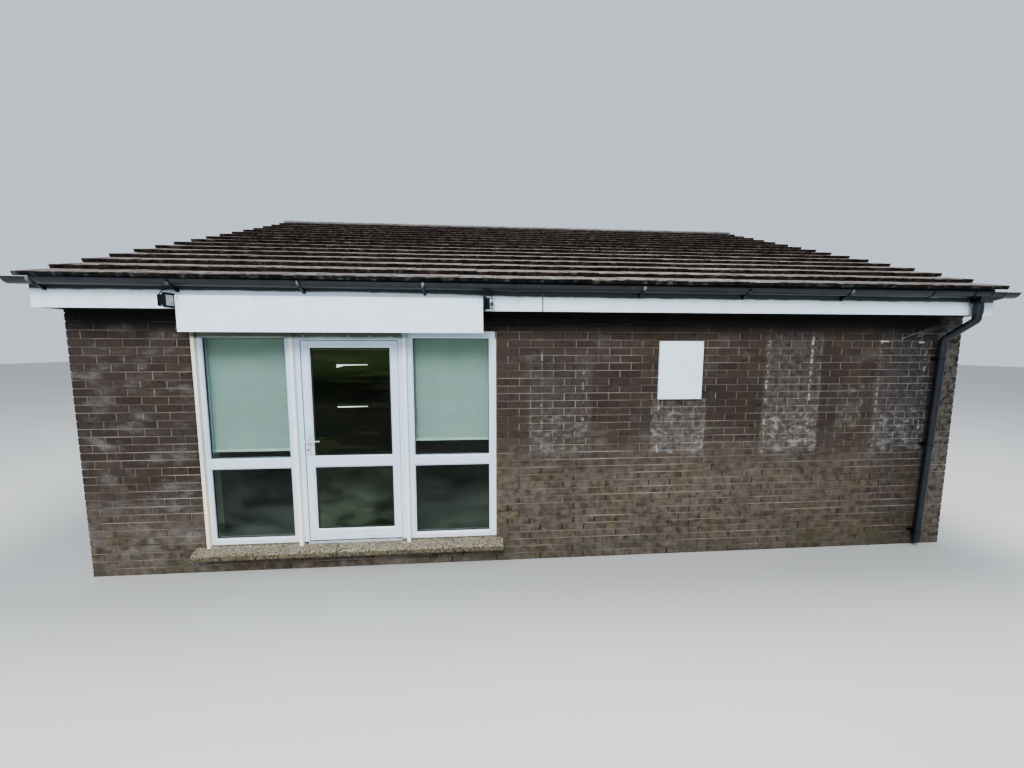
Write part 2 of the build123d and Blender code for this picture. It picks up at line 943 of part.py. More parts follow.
def floodlight():
    """Light that faces +X: frame round a recess, finned housing and a yoke with an arm to the fascia."""
    frame = across(-light_frame_thickness, 0, light_frame_depth, light_frame_height)
    frame -= across(
        -light_lens_recess,
        0,
        light_frame_depth - 2 * light_lens_border,
        light_frame_height - 2 * light_lens_border,
    )
    wide = Plane.YZ.offset(-light_frame_thickness) * Rectangle(light_frame_depth, light_frame_height)
    back = -light_frame_thickness - light_body_length
    narrow = Plane.YZ.offset(back) * Rectangle(light_body_depth, light_body_height)
    light = frame + loft([narrow, wide])
    fin_pitch = (light_body_depth - fin_thickness) / (fin_count - 1)
    for number in range(fin_count):
        y = (fin_thickness - light_body_depth) / 2 + fin_pitch * number
        light += Pos(0, y, 0) * across(back - fin_length, back, fin_thickness, light_body_height)
    end = -light_frame_thickness - yoke_length
    clear_height = light_body_height + 2 * yoke_clearance
    yoke = across(end, -light_frame_thickness, yoke_depth, clear_height + 2 * yoke_strap)
    yoke -= across(end + yoke_strap, -light_frame_thickness, yoke_depth, clear_height)
    arm = block(
        end,
        end + light_arm_length,
        0,
        light_stand_off,
        -light_arm_height / 2,
        light_arm_height / 2,
    )
    return light + yoke + arm


def floodlights():
    """A light at each end of the sign, both facing it."""
    y = fascia_face - light_stand_off
    height = soffit_level + light_above_soffit
    left = Pos(sign_left - left_light_gap, y, height) * floodlight()
    right_light = mirror(floodlight(), about=Plane.YZ)
    right = Pos(sign_right + right_light_gap, y, height) * right_light
    return [left, right]


def floodlight_leads():
    """Short leads from the ends of the yokes up to the fascia."""
    out = light_frame_thickness + yoke_length - lead_start
    y = fascia_face - light_stand_off
    yoke_top = soffit_level + light_above_soffit + light_body_height / 2 + yoke_clearance + yoke_strap
    leads = []
    for x in (sign_left - left_light_gap - out, sign_right + right_light_gap + out):
        path = Polyline(
            (x, y, yoke_top),
            (x, y, yoke_top + lead_start),
            (x, fascia_face - lead_flat, yoke_top + lead_rise),
            (x, fascia_face, yoke_top + lead_rise),
        )
        section = Plane(origin=path @ 0, z_dir=path % 0) * Circle(lead_diameter / 2)
        leads.append(sweep(section, path=path, transition=Transition.RIGHT))
    return leads


# Roller blinds
roller_height = frame_top - blind_below_head
roller_y = frame_back + blind_stand_off
blind_y = roller_y - blind_roller_radius + blind_thickness


def blind_places():
    """Left and right edge of each blind, and the bottom of its fabric."""
    inset = blind_side_inset
    return (
        (left_window_left + inset, left_window_right - inset, left_blind_bottom),
        (right_window_left + inset, right_window_right - inset, right_blind_bottom),
    )


def blind_rollers():
    """Rollers with a bracket at each end, cut where the fabric leaves them."""
    rollers = []
    fabric = blind_sheets()
    for number, (left, right, bottom) in enumerate(blind_places()):
        roller = Pos((left + right) / 2, roller_y, roller_height) * Rot(0, 90, 0) * Cylinder(
            blind_roller_radius, right - left
        )
        for end in (left - blind_bracket_width, right):
            roller += block(
                end,
                end + blind_bracket_width,
                frame_back,
                roller_y + blind_roller_radius,
                roller_height - blind_roller_radius,
                roller_height + blind_roller_radius,
            )
        rollers.append(roller - fabric[number])
    return rollers


def blind_sheets():
    return [
        block(left, right, blind_y, blind_y + blind_thickness, bottom, roller_height)
        for left, right, bottom in blind_places()
    ]


def blind_bars():
    middle = blind_y + blind_thickness / 2
    half = blind_bar_thickness / 2
    return [
        block(left, right, middle - half, middle + half, bottom - blind_bar_height, bottom)
        for left, right, bottom in blind_places()
    ]


def nodes():
    return {
        "floor_slab": floor_slab(),
        "front_wall_left": front_wall_left(),
        "front_wall_right": front_wall_right(),
        "front_wall_over_shopfront": front_wall_over_shopfront(),
        "front_wall_under_shopfront": front_wall_under_shopfront(),
        "left_gable_wall": left_gable_wall(),
        "right_gable_wall": right_gable_wall(),
        "back_wall": back_wall(),
        "ceiling": ceiling(),
        "roof_front": roof_front(),
        "roof_back": to_back(roof_front()),
        "ridge_tiles": ridge_tiles(),
        "undercloaks": undercloaks(),
        "fascias": both_sides(fascia()),
        "soffits": both_sides(soffit()),
        "box_ends": box_ends(),
        "fascia_trims": fascia_trims(),
        "gutters": both_sides(gutter()),
        "gutter_brackets": both_sides(gutter_brackets()),
        "gutter_unions": both_sides(gutter_unions()),
        "downpipes": both_sides(downpipe()),
        "downpipe_sockets": both_sides(downpipe_sockets()),
        "pipe_clips": both_sides(pipe_clips()),
        "left_window_frame": window_frame(left_window_left, left_window_right),
        "right_window_frame": window_frame(right_window_left, right_window_right),
        "window_glass": window_glass(left_window_left, left_window_right)
        + window_glass(right_window_left, right_window_right),
        "couplers": couplers(),
        "coupler_covers": coupler_covers(),
        "side_posts": side_posts(),
        "door_jambs": door_jambs(),
        "door_head": door_head(),
        "door_threshold": door_threshold(),
        "door_leaf": door_leaf(),
        "door_glass": door_glass(),
        "door_hinges": door_hinges(),
        "jamb_hinges": jamb_hinges(),
        "door_handles": door_handles(),
        "sill_slabs": sill_slabs(),
        "sign_board": sign_board(),
        "wall_plaque": wall_plaque(),
        "floodlights": floodlights(),
        "floodlight_leads": floodlight_leads(),
        "blind_rollers": blind_rollers(),
        "blind_sheets": blind_sheets(),
        "blind_bars": blind_bars(),
    }


os.makedirs("parts", exist_ok=True)
for name, shape in nodes().items():
    node = Compound(children=shape) if isinstance(shape, list) else shape
    export_step(node, f"parts/{name}.step")
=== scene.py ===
import math
import random

import bpy
from mathutils import Matrix, Vector


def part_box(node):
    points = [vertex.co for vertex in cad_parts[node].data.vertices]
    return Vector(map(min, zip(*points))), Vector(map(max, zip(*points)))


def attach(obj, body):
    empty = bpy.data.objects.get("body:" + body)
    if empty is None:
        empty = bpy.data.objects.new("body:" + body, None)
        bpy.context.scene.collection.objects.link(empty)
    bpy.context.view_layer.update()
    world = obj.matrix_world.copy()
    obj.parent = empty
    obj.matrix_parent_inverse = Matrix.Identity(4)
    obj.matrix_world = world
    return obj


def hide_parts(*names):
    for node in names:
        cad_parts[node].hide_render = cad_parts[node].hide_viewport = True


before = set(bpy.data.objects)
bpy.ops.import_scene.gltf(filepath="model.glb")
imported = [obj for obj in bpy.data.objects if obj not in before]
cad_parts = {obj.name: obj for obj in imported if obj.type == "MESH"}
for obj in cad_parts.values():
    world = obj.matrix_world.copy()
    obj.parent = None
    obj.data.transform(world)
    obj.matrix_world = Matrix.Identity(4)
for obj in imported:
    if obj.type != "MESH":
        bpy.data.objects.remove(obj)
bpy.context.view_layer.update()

# Looks of a brick corner shop. Metres, with the shop front facing -Y.

# Brickwork
BRICK_LENGTH = 0.215
BRICK_HEIGHT = 0.065
MORTAR = 0.010
BRICK_PITCH = BRICK_LENGTH + MORTAR
COURSE = BRICK_HEIGHT + MORTAR
MORTAR_DEPTH = 0.005
BRICK_BACK = 0.012
ARRIS = 0.0035
ARRIS_DEPTH = 0.003
FACE_PLAY = 0.0012
EDGE_PLAY = 0.0012
SMALLEST_BRICK = 0.0004
SHORTEST_SIDE = 0.0002

# Roof
PITCH = math.radians(22)
COURSES = 16
TILE_COVER = 0.3005
TILE_BUTT = 0.039
TILE_THICKNESS = 0.035
TILE_LAP = 0.060
TILE_GAP = 0.0035
TILE_STEP = 0.004
TILE_EDGE = 0.005
TILE_SINK = 0.026
TILE_ROUND = 0.004
TILE_HOLLOW = 0.002
TILE_DROP = 0.004
TILE_SLIP = 0.007
TILE_SKEW = 0.003
TILE_CHIP = 0.006
TILE_CROWN = (-0.002, 0.0, 0.0005, 0.0, -0.002)
BED_INSET = 0.012
BED_SETBACK = 0.020
ROOF_BED = 0.050

# Moss
MOSS_CLUMPS = 6000
MOSS_BORDER = 0.05
CLUMP_SIZES = (0.008, 0.020)
CLUMP_SIDES = 6
CLUMP_REACH = (0.7, 1.2)
CLUMP_WIDTH = 1.5
CLUMP_DEPTH = 0.7
CLUMP_LIFT = 0.004
CLUMP_OVERHANG = 0.2
# Rings of a clump: height and reach, as shares of its size
CLUMP_LEVELS = ((-0.3, 1.0), (0.25, 0.85), (0.55, 0.4))

# Places on one axis where a look begins to change and where the change is full
OLD_TILES = (3.55, 4.05)
MOSSY_EDGE = (0.075, 0.034)
DUST_REACH = (3.2, 1.2)
EAVES_SHADE = (2.20, 2.47)
EAVES_REACH = (3.95, 4.20)
DAMP_FOOT = (0.45, 0.05)
BLIND_SHADE = (1.90, 2.34)
# Green bands of growth with painted shade: frame heads under the sign, fascia under the gutter
HEAD_GREEN = (2.235, 2.275)
BOARD_GREEN = (2.616, 2.634)
GREEN_END = (-1.35, -1.50)
GROWTH_AND_SHADE_RISE = (0.2, -1.8)
GROUND_LIGHT_ON_FRAMES = (1.3, 0.4)
TRIM_CHANGE = (2.01, 1.99)
SILL_GRIME = (-4.30, -4.36)
PANE_FADE = (0.95, 0.40)
# Other values of the looks
SILL_FACE = 0.210
MIDDLE_RAIL = 1.13
BRACKET_FADE = 0.02
GLASS_IOR = 1.22
NOISE_ROUGHNESS = 0.55
DIRT_SCALE = 2.5
GRAIN_SCALE = 45

# Camera, from the photograph's perspective
CAMERA_PLACE = (-0.6857, -7.9177, 2.1750)
CAMERA_LENS = 13.184
CAMERA_TURN = 4.336
CAMERA_TILT = 5.623
CAMERA_ROLL = 0.084
SENSOR = 36.0
FARTHEST = 200


def corners(node):
    """Lowest and highest corner of a CAD node."""
    low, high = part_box(node)
    return Vector(low), Vector(high)


def solids(node):
    """Lowest and highest corner of each separate solid of a CAD node, from left to right."""
    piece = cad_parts[node]
    places = []
    for point in piece.data.vertices:
        places.append(tuple(round(value, 4) for value in piece.matrix_world @ point.co))
    owner = {place: place for place in places}

    def root(place):
        while owner[place] != place:
            place = owner[place]
        return place

    for polygon in piece.data.polygons:
        first, *others = [places[corner] for corner in polygon.vertices]
        for other in others:
            owner[root(other)] = root(first)
    groups = {}
    for place in owner:
        groups.setdefault(root(place), []).append(place)
    boxes = []
    for group in groups.values():
        low = Vector([min(values) for values in zip(*group)])
        high = Vector([max(values) for values in zip(*group)])
        boxes.append((low, high))
    return sorted(boxes, key=lambda box: tuple(box[0]))


LEFT_WALL_LOW, LEFT_WALL_HIGH = corners("front_wall_left")
RIGHT_WALL_LOW, RIGHT_WALL_HIGH = corners("front_wall_right")
ROOF_LOW, ROOF_HIGH = corners("roof_front")
FRONT = LEFT_WALL_LOW.y
BACK = corners("back_wall")[1].y
LEFT = LEFT_WALL_LOW.x
RIGHT = RIGHT_WALL_HIGH.x
WALL = LEFT_WALL_HIGH.y - LEFT_WALL_LOW.y
OPENING_LEFT = LEFT_WALL_HIGH.x
OPENING_RIGHT = RIGHT_WALL_LOW.x
EAVES = corners("soffits")[0].z
SLOPE = math.tan(PITCH)
VERGE = ROOF_HIGH.x
EDGE = ROOF_LOW.y
RUN = -EDGE / COURSES
GAUGE = RUN / math.cos(PITCH)
BATTEN_TOP = ROOF_HIGH.z
EAVES_TIP = BATTEN_TOP + EDGE * SLOPE
FASCIA_BACK = corners("fascias")[0].y + BED_SETBACK


def placed(name, data):
    """New object in the scene."""
    made = bpy.data.objects.new(name, data)
    bpy.context.collection.objects.link(made)
    return made


# Meshes
def grid(count, columns):
    """Faces of a grid of points, row by row."""
    faces = []
    for row in range(0, count - columns, columns):
        for a in range(row, row + columns - 1):
            faces.append([a, a + 1, a + columns + 1, a + columns])
    return faces


class Parts:
    """Faces of one piece, each with a tone and a material number."""

    def __init__(self):
        self.points = []
        self.faces = []
        self.tones = []
        self.looks = []

    def add(self, points, faces, tone=0.5, look=0):
        start = len(self.points)
        self.points += points
        self.faces += [[start + corner for corner in face] for face in faces]
        self.tones += [tone] * len(faces)
        self.looks += [look] * len(faces)

    def rings(self, rings, tone=0.5, look=0):
        """Closed solid through rings of as many points each."""
        count = len(rings[0])
        faces = [list(range(count))[::-1]]
        for level in range(len(rings) - 1):
            base = level * count
            for side in range(count):
                after = (side + 1) % count
                faces.append([base + side, base + after, base + count + after, base + count + side])
        last = (len(rings) - 1) * count
        faces.append([last + corner for corner in range(count)])
        self.add([point for ring in rings for point in ring], faces, tone, look)

    def box(self, low, high, look=0):
        floor = [(low[0], low[1]), (high[0], low[1]), (high[0], high[1]), (low[0], high[1])]
        self.rings([[(x, y, z) for x, y in floor] for z in (low[2], high[2])], look=look)

    def slab(self, upper, lower, columns, tone, edge_look):
        """Solid between two grids of points, with the second look everywhere but on top."""
        under = len(upper)
        last = under - columns
        top = grid(under, columns)
        edges = [[under + a, under + d, under + c, under + b] for a, b, c, d in top]
        border = list(range(columns))
        border += range(2 * columns - 1, under, columns)
        border += range(under - 2, last - 1, -1)
        border += range(last - columns, 0, -columns)
        for a, b in zip(border, border[1:] + border[:1]):
            edges.append([a, under + a, under + b, b])
        self.add(upper + lower, top + edges, tone)
        self.looks[-len(edges):] = [edge_look] * len(edges)

    def make(self, name, materials, slot, node=None, body="building"):
        """Piece of these faces on a body, and the CAD node that it replaces. The slot is not used."""
        mesh = bpy.data.meshes.new(name)
        mesh.from_pydata([tuple(point) for point in self.points], [], self.faces)
        for material in materials:
            mesh.materials.append(material)
        mesh.polygons.foreach_set("material_index", self.looks)
        tone = mesh.attributes.new("tone", "FLOAT", "FACE")
        tone.data.foreach_set("value", self.tones)
        mesh.validate()
        piece = placed(name, mesh)
        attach(piece, body)
        if node:
            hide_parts(node)
        return piece


# Material numbers of a wall, after its mortar
BRICKED = 1
PLASTERED = 2
PAINTED = 3


# Outlines in the plane of a wall, as points and a flag for each side that is a brick's own edge
def cut(points, flags, across, up, limit):
    """Keep the part of an outline where across * u + up * z is at most limit."""
    kept = []
    kept_flags = []
    count = len(points)
    over = [across * u + up * z - limit for u, z in points]
    for here in range(count):
        after = (here + 1) % count
        if over[here] <= 0:
            kept.append(points[here])
            kept_flags.append(flags[here])
        if (over[here] <= 0) != (over[after] <= 0):
            share = over[here] / (over[here] - over[after])
            u = points[here][0] + share * (points[after][0] - points[here][0])
            z = points[here][1] + share * (points[after][1] - points[here][1])
            kept.append((u, z))
            kept_flags.append(flags[here] if over[here] > 0 else False)
    return kept, kept_flags


def sides(points):
    """Each point with the one after it."""
    return list(zip(points, points[1:] + points[:1]))


def without_repeats(points, flags):
    """Drop points that lie on the next one."""
    kept = []
    for here, (point, after) in enumerate(sides(points)):
        if math.dist(point, after) > SHORTEST_SIDE:
            kept.append(here)
    return [points[here] for here in kept], [flags[here] for here in kept]


def area(points):
    return sum(u * z_after - u_after * z for (u, z), (u_after, z_after) in sides(points)) / 2


def shrink(points, flags, distance):
    """Move the flagged sides inward."""
    lines = []
    for ((u, z), (u_after, z_after)), own in zip(sides(points), flags):
        length = math.hypot(u_after - u, z_after - z)
        inward = ((z - z_after) / length, (u_after - u) / length)
        shift = distance if own else 0
        lines.append((inward, inward[0] * u + inward[1] * z + shift))
    moved = []
    for here, (normal, offset) in enumerate(lines):
        before, before_offset = lines[here - 1]
        cross = before[0] * normal[1] - before[1] * normal[0]
        u = (before_offset * normal[1] - offset * before[1]) / cross
        z = (before[0] * offset - normal[0] * before_offset) / cross
        moved.append((u, z))
    return moved


class Face:
    """Outer face of a wall and its bond. u runs to the right along it, seen from outside.

    The middle of a joint of its even courses is at joint, or of the odd ones with flip.
    """

    def __init__(self, start, along, joint, seed, pitch=BRICK_PITCH, flip=False):
        self.joint = joint
        self.seed = seed
        self.pitch = pitch
        self.flip = flip
        self.start = Vector(start)
        self.along = Vector(along)
        self.out = self.along.cross(Vector((0, 0, 1)))

    def at(self, u, z, depth):
        return self.start + self.along * u - self.out * depth + Vector((0, 0, z))


FRONT_JOINT = RIGHT + MORTAR / 2
SIDE_JOINT = BACK + MORTAR / 2
# Four and a half bricks with slightly wide joints fill the left pier
PIER_PITCH = (OPENING_LEFT - LEFT + MORTAR) / 4.5
PIER_FACE = Face((0, FRONT, 0), (1, 0, 0), OPENING_LEFT + MORTAR / 2, seed=1, pitch=PIER_PITCH)
FRONT_FACE = Face((0, FRONT, 0), (1, 0, 0), FRONT_JOINT, seed=3)
BACK_FACE = Face((0, BACK, 0), (-1, 0, 0), FRONT_JOINT, seed=4)
LEFT_FACE = Face((LEFT, 0, 0), (0, -1, 0), SIDE_JOINT, seed=5)
RIGHT_FACE = Face((RIGHT, 0, 0), (0, 1, 0), SIDE_JOINT, seed=6, flip=True)


def brick(parts, face, points, flags, chance):
    """One brick with worn arrises, set into the mortar."""
    points, flags = without_repeats(points, flags)
    if len(points) < 3 or area(points) < SMALLEST_BRICK:
        return
    tone = chance.random()
    inner = shrink(points, flags, ARRIS)
    back = [face.at(u, z, BRICK_BACK) for u, z in points]
    side = [face.at(u, z, ARRIS_DEPTH) for u, z in points]
    front = [face.at(u, z, chance.random() * FACE_PLAY) for u, z in inner]
    parts.rings([back, side, front], tone, BRICKED)


def spans(low, high, joint, pitch):
    """Number and ends of the bricks of one course between low and high, with a joint's middle at joint."""
    first = math.floor((low - joint) / pitch)
    last = math.ceil((high - joint) / pitch)
    half = MORTAR / 2
    return [(n, joint + pitch * n + half, joint + pitch * (n + 1) - half) for n in range(first, last)]


def brickwork(parts, face, low, high, bottom, top, limits=()):
    """Stretcher bond between low and high, cut to the limits."""
    for course in range(int(bottom / COURSE), math.ceil(top / COURSE)):
        shift = 0 if (course % 2 == 0) != face.flip else face.pitch / 2
        z0 = course * COURSE
        z1 = z0 + BRICK_HEIGHT
        for number, u0, u1 in spans(low, high, face.joint + shift, face.pitch):
            chance = random.Random(f"{face.seed} {course} {number}")
            points = [(u0, z0), (u1, z0), (u1, z1), (u0, z1)]
            flags = [True] * 4
            for across, up, limit in ((-1, 0, -low), (1, 0, high), (0, -1, -bottom), (0, 1, top), *limits):
                points, flags = cut(points, flags, across, up, limit)
                if len(points) < 3:
                    break
            rise = chance.uniform(0, EDGE_PLAY)
            tilt = chance.uniform(0, EDGE_PLAY) / BRICK_LENGTH
            points = [(u, z + rise + tilt * (u - u0)) for u, z in points]
            brick(parts, face, points, flags, chance)


# Materials
class Look:
    """Node tree of one material, built with short calls, and its colour so far."""

    def __init__(self, name, roughness, **sockets):
        self.material = bpy.data.materials.new(name)
        self.material.use_nodes = True
        self.tree = self.material.node_tree
        self.shader = self.tree.nodes["Principled BSDF"]
        self.set("Roughness", roughness)
        for socket, value in sockets.items():
            self.set(socket.replace("_", " "), value)
        self.place = self.node("TexCoord").outputs["Object"]

    def node(self, kind, inputs=None, **settings):
        """Node of one kind, with its inputs linked or set."""
        made = self.tree.nodes.new("ShaderNode" + kind)
        for name, value in settings.items():
            setattr(made, name, value)
        for socket, value in (inputs or {}).items():
            self.put(value, made.inputs[socket])
        return made

    def put(self, value, socket):
        """Link an output to a socket, or set it to a number or colour."""
        if isinstance(value, bpy.types.NodeSocket):
            self.tree.links.new(value, socket)
        elif isinstance(value, tuple) and socket.type == "RGBA":
            socket.default_value = (*value, 1)
        else:
            socket.default_value = value

    def set(self, socket, value):
        self.put(value, self.shader.inputs[socket])

    def stretched(self, scale):
        """Coordinates of the object, each times its own scale."""
        return self.node("Mapping", {"Vector": self.place, "Scale": scale}).outputs["Vector"]

    def noise(self, scale, detail, stretch=None):
        place = self.stretched(stretch) if stretch else self.place
        inputs = {"Vector": place, "Scale": scale, "Detail": detail, "Roughness": NOISE_ROUGHNESS}
        return self.node("TexNoise", inputs).outputs["Fac"]

    def bands(self, direction, scale):
        inputs = {"Vector": self.place, "Scale": scale}
        return self.node("TexWave", inputs, wave_type="BANDS", bands_direction=direction).outputs["Fac"]

    def cells(self, scale):
        return self.node("TexVoronoi", {"Vector": self.place, "Scale": scale}, feature="F1").outputs

    def axis(self, name):
        return self.node("SeparateXYZ", {"Vector": self.place}).outputs[name]

    def tone(self):
        return self.node("Attribute", attribute_name="tone").outputs["Fac"]

    def maths(self, operation, first, second=0.0):
        return self.node("Math", {0: first, 1: second}, operation=operation).outputs["Value"]

    def times(self, *values):
        result = values[0]
        for value in values[1:]:
            result = self.maths("MULTIPLY", result, value)
        return result

    def linear(self, value, factor, base):
        """value * factor + base"""
        return self.maths("ADD", self.times(value, factor), base)

    def smooth(self, value, start, end):
        """0 at start and 1 at end, which may be the lower."""
        inputs = {"Value": value, "From Min": start, "From Max": end}
        return self.node("MapRange", inputs, interpolation_type="SMOOTHSTEP").outputs["Result"]

    def along(self, name, start, end):
        """0 at start and 1 at end of one axis."""
        return self.smooth(self.axis(name), start, end)

    def band(self, value, low, high, soft):
        """1 between low and high, fading over soft."""
        middle = (low + high) / 2
        away = self.maths("ABSOLUTE", self.maths("SUBTRACT", value, middle))
        half = (high - low) / 2
        return self.smooth(away, half + soft, half)

    def patches(self, start, end, *noise):
        """Patches where the noise is past start, full at end."""
        return self.smooth(self.noise(*noise), start, end)

    def ragged(self, name, amount, *noise):
        """One axis, moved to and fro by noise."""
        return self.linear(self.maths("SUBTRACT", self.noise(*noise), 0.5), amount, self.axis(name))

    def ramp(self, value, *stops):
        made = self.node("ValToRGB", {"Fac": value})
        elements = made.color_ramp.elements
        while len(elements) < len(stops):
            elements.new(0.5)
        for element, (place, colour) in zip(elements, stops):
            element.position = place
            element.color = (*colour, 1)
        return made.outputs["Color"]

    def between(self, noise, low, high):
        """Colour that wanders from one to another with a noise."""
        return self.ramp(noise, (0.3, low), (0.7, high))

    def mix(self, share, first, second, blend="MIX"):
        made = self.node("Mix", {"Factor": share}, data_type="RGBA", blend_type=blend)
        first_socket, second_socket = [socket for socket in made.inputs if socket.type == "RGBA"]
        self.put(first, first_socket)
        self.put(second, second_socket)
        return next(socket for socket in made.outputs if socket.type == "RGBA")

    def over(self, shade, *shares):
        """Cover the colour with a shade, by the product of the shares."""
        self.colour = self.mix(self.times(*shares), self.colour, shade)

    def shade(self, factor, *shares):
        """Multiply the colour by a factor, by the product of the shares."""
        self.colour = self.mix(self.times(*shares), self.colour, factor, "MULTIPLY")

    def bump(self, height, distance, strength):
        """Add a bump on top of those that the shader has."""
        inputs = {"Height": height, "Distance": distance, "Strength": strength}
        for link in self.shader.inputs["Normal"].links:
            inputs["Normal"] = link.from_socket
        self.set("Normal", self.node("Bump", inputs).outputs["Normal"])

    def finish(self, *bumps):
        """Set the colour and the bumps, each of a height, a distance and a strength."""
        self.set("Base Color", self.colour)
        for height, distance, strength in bumps:
            self.bump(height, distance, strength)
        return self.material


# Stains on the front wall: x from and to, z from and to, the x of white streaks, and strength
GHOSTS = (
    ((-0.223, 0.370), (1.12, 2.10), (-0.121, 0.296), 0.45),
    ((1.038, 1.572), (1.12, 1.62), (1.080, 1.560), 0.9),
    ((2.222, 2.806), (1.12, 2.30), (2.222, 2.704), 1.0),
    ((3.455, 4.039), (1.12, 2.24), (3.468, 3.990), 0.65),
    ((3.05, 3.30), (1.38, 1.56), (), 0.5),
)
GHOST_FOOT = 0.35
GHOST_WANDER = (0.07, 8, 4)
STREAK_WIDTH = 0.012
# Pale scratches on the front wall: x and z of both ends, width and strength
SCRATCHES = (
    ((3.700, 2.270), (4.060, 2.395), 0.008, 0.30),
    ((3.860, 2.300), (4.120, 2.400), 0.050, 0.18),
    ((3.904, 2.230), (3.968, 2.230), 0.012, 0.80),
    ((3.468, 2.240), (3.566, 2.240), 0.012, 0.80),
)


def ghost_stains(look, cover):
    """Grey film, broken white streaks and pale blooms where boards once were."""
    x = look.ragged("X", *GHOST_WANDER)
    z = look.ragged("Z", *GHOST_WANDER)
    film = streaks = feet = 0.0
    for (x0, x1), (z0, z1), lines, strength in GHOSTS:
        height = look.times(look.band(z, z0, z1, 0.06), strength)
        width = look.band(x, x0, x1, 0.04)
        film = look.linear(width, height, film)
        foot = look.times(look.band(z, z0, z0 + GHOST_FOOT, 0.12), strength)
        feet = look.linear(width, foot, feet)
        for line in lines:
            streak = look.band(look.axis("X"), line, line + STREAK_WIDTH, 0.010)
            streaks = look.linear(streak, height, streaks)
    lower = look.linear(look.along("Z", 2.1, 1.4), 0.45, 0.55)
    look.over((0.25, 0.235, 0.225), film, look.patches(0.30, 0.66, 19, 5), lower, cover)
    look.over((0.36, 0.34, 0.32), feet, look.patches(0.50, 0.68, 13, 5, (1, 1, 1.6)), 0.5)
    look.over((0.50, 0.48, 0.45), streaks, look.patches(0.52, 0.62, 17, 6, (1, 1, 1.4)), 0.6)


def scratches(look):
    """Pale scratches along straight lines."""
    marks = 0.0
    for (x0, z0), (x1, z1), width, strength in SCRATCHES:
        length = math.hypot(x1 - x0, z1 - z0)
        across = (x1 - x0) / length
        up = (z1 - z0) / length
        right = look.maths("SUBTRACT", look.axis("X"), x0)
        above = look.maths("SUBTRACT", look.axis("Z"), z0)
        along = look.linear(right, across, look.times(above, up))
        aside = look.linear(right, -up, look.times(above, across))
        mark = look.times(look.band(along, 0, length, 0.004), look.band(aside, -width / 2, width / 2, 0.003))
        marks = look.linear(mark, strength, marks)
    look.over((0.52, 0.50, 0.47), marks, look.patches(0.34, 0.50, 40, 4))


def eaves_shade_and_damp(look, strength):
    """Painted shade and black growth under the eaves, and damp growth at the foot."""
    height = look.ragged("Z", 0.10, 3, 4)
    near_eaves = look.smooth(look.maths("ABSOLUTE", look.axis("Y")), *EAVES_REACH)
    inside_end = look.along("X", RIGHT - 0.16, RIGHT - 0.30)
    top = look.smooth(height, *EAVES_SHADE)
    # Painted shade under the eaves, with black growth; it stops short of the right end, where light reaches
    look.over((0.0015, 0.0012, 0.0012), top, near_eaves, inside_end, strength)
    foot = look.smooth(height, *DAMP_FOOT)
    look.over((0.075, 0.078, 0.045), foot, look.patches(0.42, 0.66, 6, 4), 0.45)


def clay(look, drag):
    """Brown of the bricks, by brick, in clouds and along the drag marks."""
    look.colour = look.ramp(
        look.tone(),
        (0.0, (0.042, 0.027, 0.022)),
        (0.25, (0.050, 0.033, 0.026)),
        (0.5, (0.056, 0.038, 0.030)),
        (0.75, (0.055, 0.039, 0.032)),
        (0.93, (0.064, 0.044, 0.035)),
        (1.0, (0.071, 0.046, 0.037)),
    )
    look.shade((0.76, 0.78, 0.80), look.patches(0.35, 0.68, 1.1, 3))
    look.shade(look.between(drag, (0.60, 0.59, 0.58), (1.42, 1.42, 1.42)), 0.45)


def dust(look, pier, stains):
    """Pale dust on the lower bricks, higher up on the left pier."""
    height = look.linear(pier, 0.45, look.axis("Z"))
    cover = look.times(look.smooth(height, 1.5, 0.7), look.patches(0.20, 0.75, 14, 6))
    if stains:
        cover = look.times(cover, look.linear(look.along("X", *DUST_REACH), 0.2, 0.8))
    look.over((0.22, 0.176, 0.140), cover, 0.62)


def right_end(look, front, mottle):
    """Painted shade on the right end of the front wall, bluish higher up, and paler mottled bricks at its
    corner.
    """
    # Painted shade: bluish higher up, grey lower down
    tint = look.mix(look.along("Z", 0.9, 1.3), (0.68, 0.66, 0.65), (0.50, 0.57, 0.72))
    look.shade(tint, look.along("X", RIGHT - 1.05, RIGHT - 0.60), front)
    corner = look.along("X", RIGHT - 0.30, RIGHT - 0.22)
    look.over((0.20, 0.185, 0.155), corner, front, look.smooth(mottle, 0.35, 0.6), 0.40)


def brick_look(name, stains=False):
    """Brown bricks with dust, olive growth, dark mottle and salt, painted shade under the eaves, and the
    front wall's stains and painted shade where asked.
    """
    look = Look(name, 0.78, Specular_IOR_Level=0.3)
    drag = look.noise(60, 4, (1.0, 1.0, 0.18))
    mottle = look.noise(18, 5)
    front = look.along("Y", FRONT + 0.03, FRONT + 0.015)
    pier = look.times(look.along("X", OPENING_LEFT + 0.02, OPENING_LEFT - 0.02), front)
    clay(look, drag)
    dust(look, pier, stains)
    look.shade((1.02, 0.99, 0.76), look.patches(0.50, 0.62, 2.6, 4), 0.7)
    look.shade((0.50, 0.50, 0.52), look.smooth(mottle, 0.42, 0.30))
    salt = look.linear(look.patches(0.54, 0.66, 95, 4), 0.6, 0.4)
    salt = look.times(look.patches(0.48, 0.72, 5, 7, (0.7, 0.7, 1.3)), salt)
    look.over((0.30, 0.29, 0.28), salt, look.patches(0.44, 0.64, 1.7, 3), 0.42)
    if stains:
        look.over((0.34, 0.33, 0.33), salt, pier, 0.50)
        right_end(look, front, mottle)
        ghost_stains(look, 0.30)
        scratches(look)
    eaves_shade_and_damp(look, 0.97)
    return look.finish((drag, 0.0016, 0.6), (look.noise(240, 2), 0.0007, 0.5))


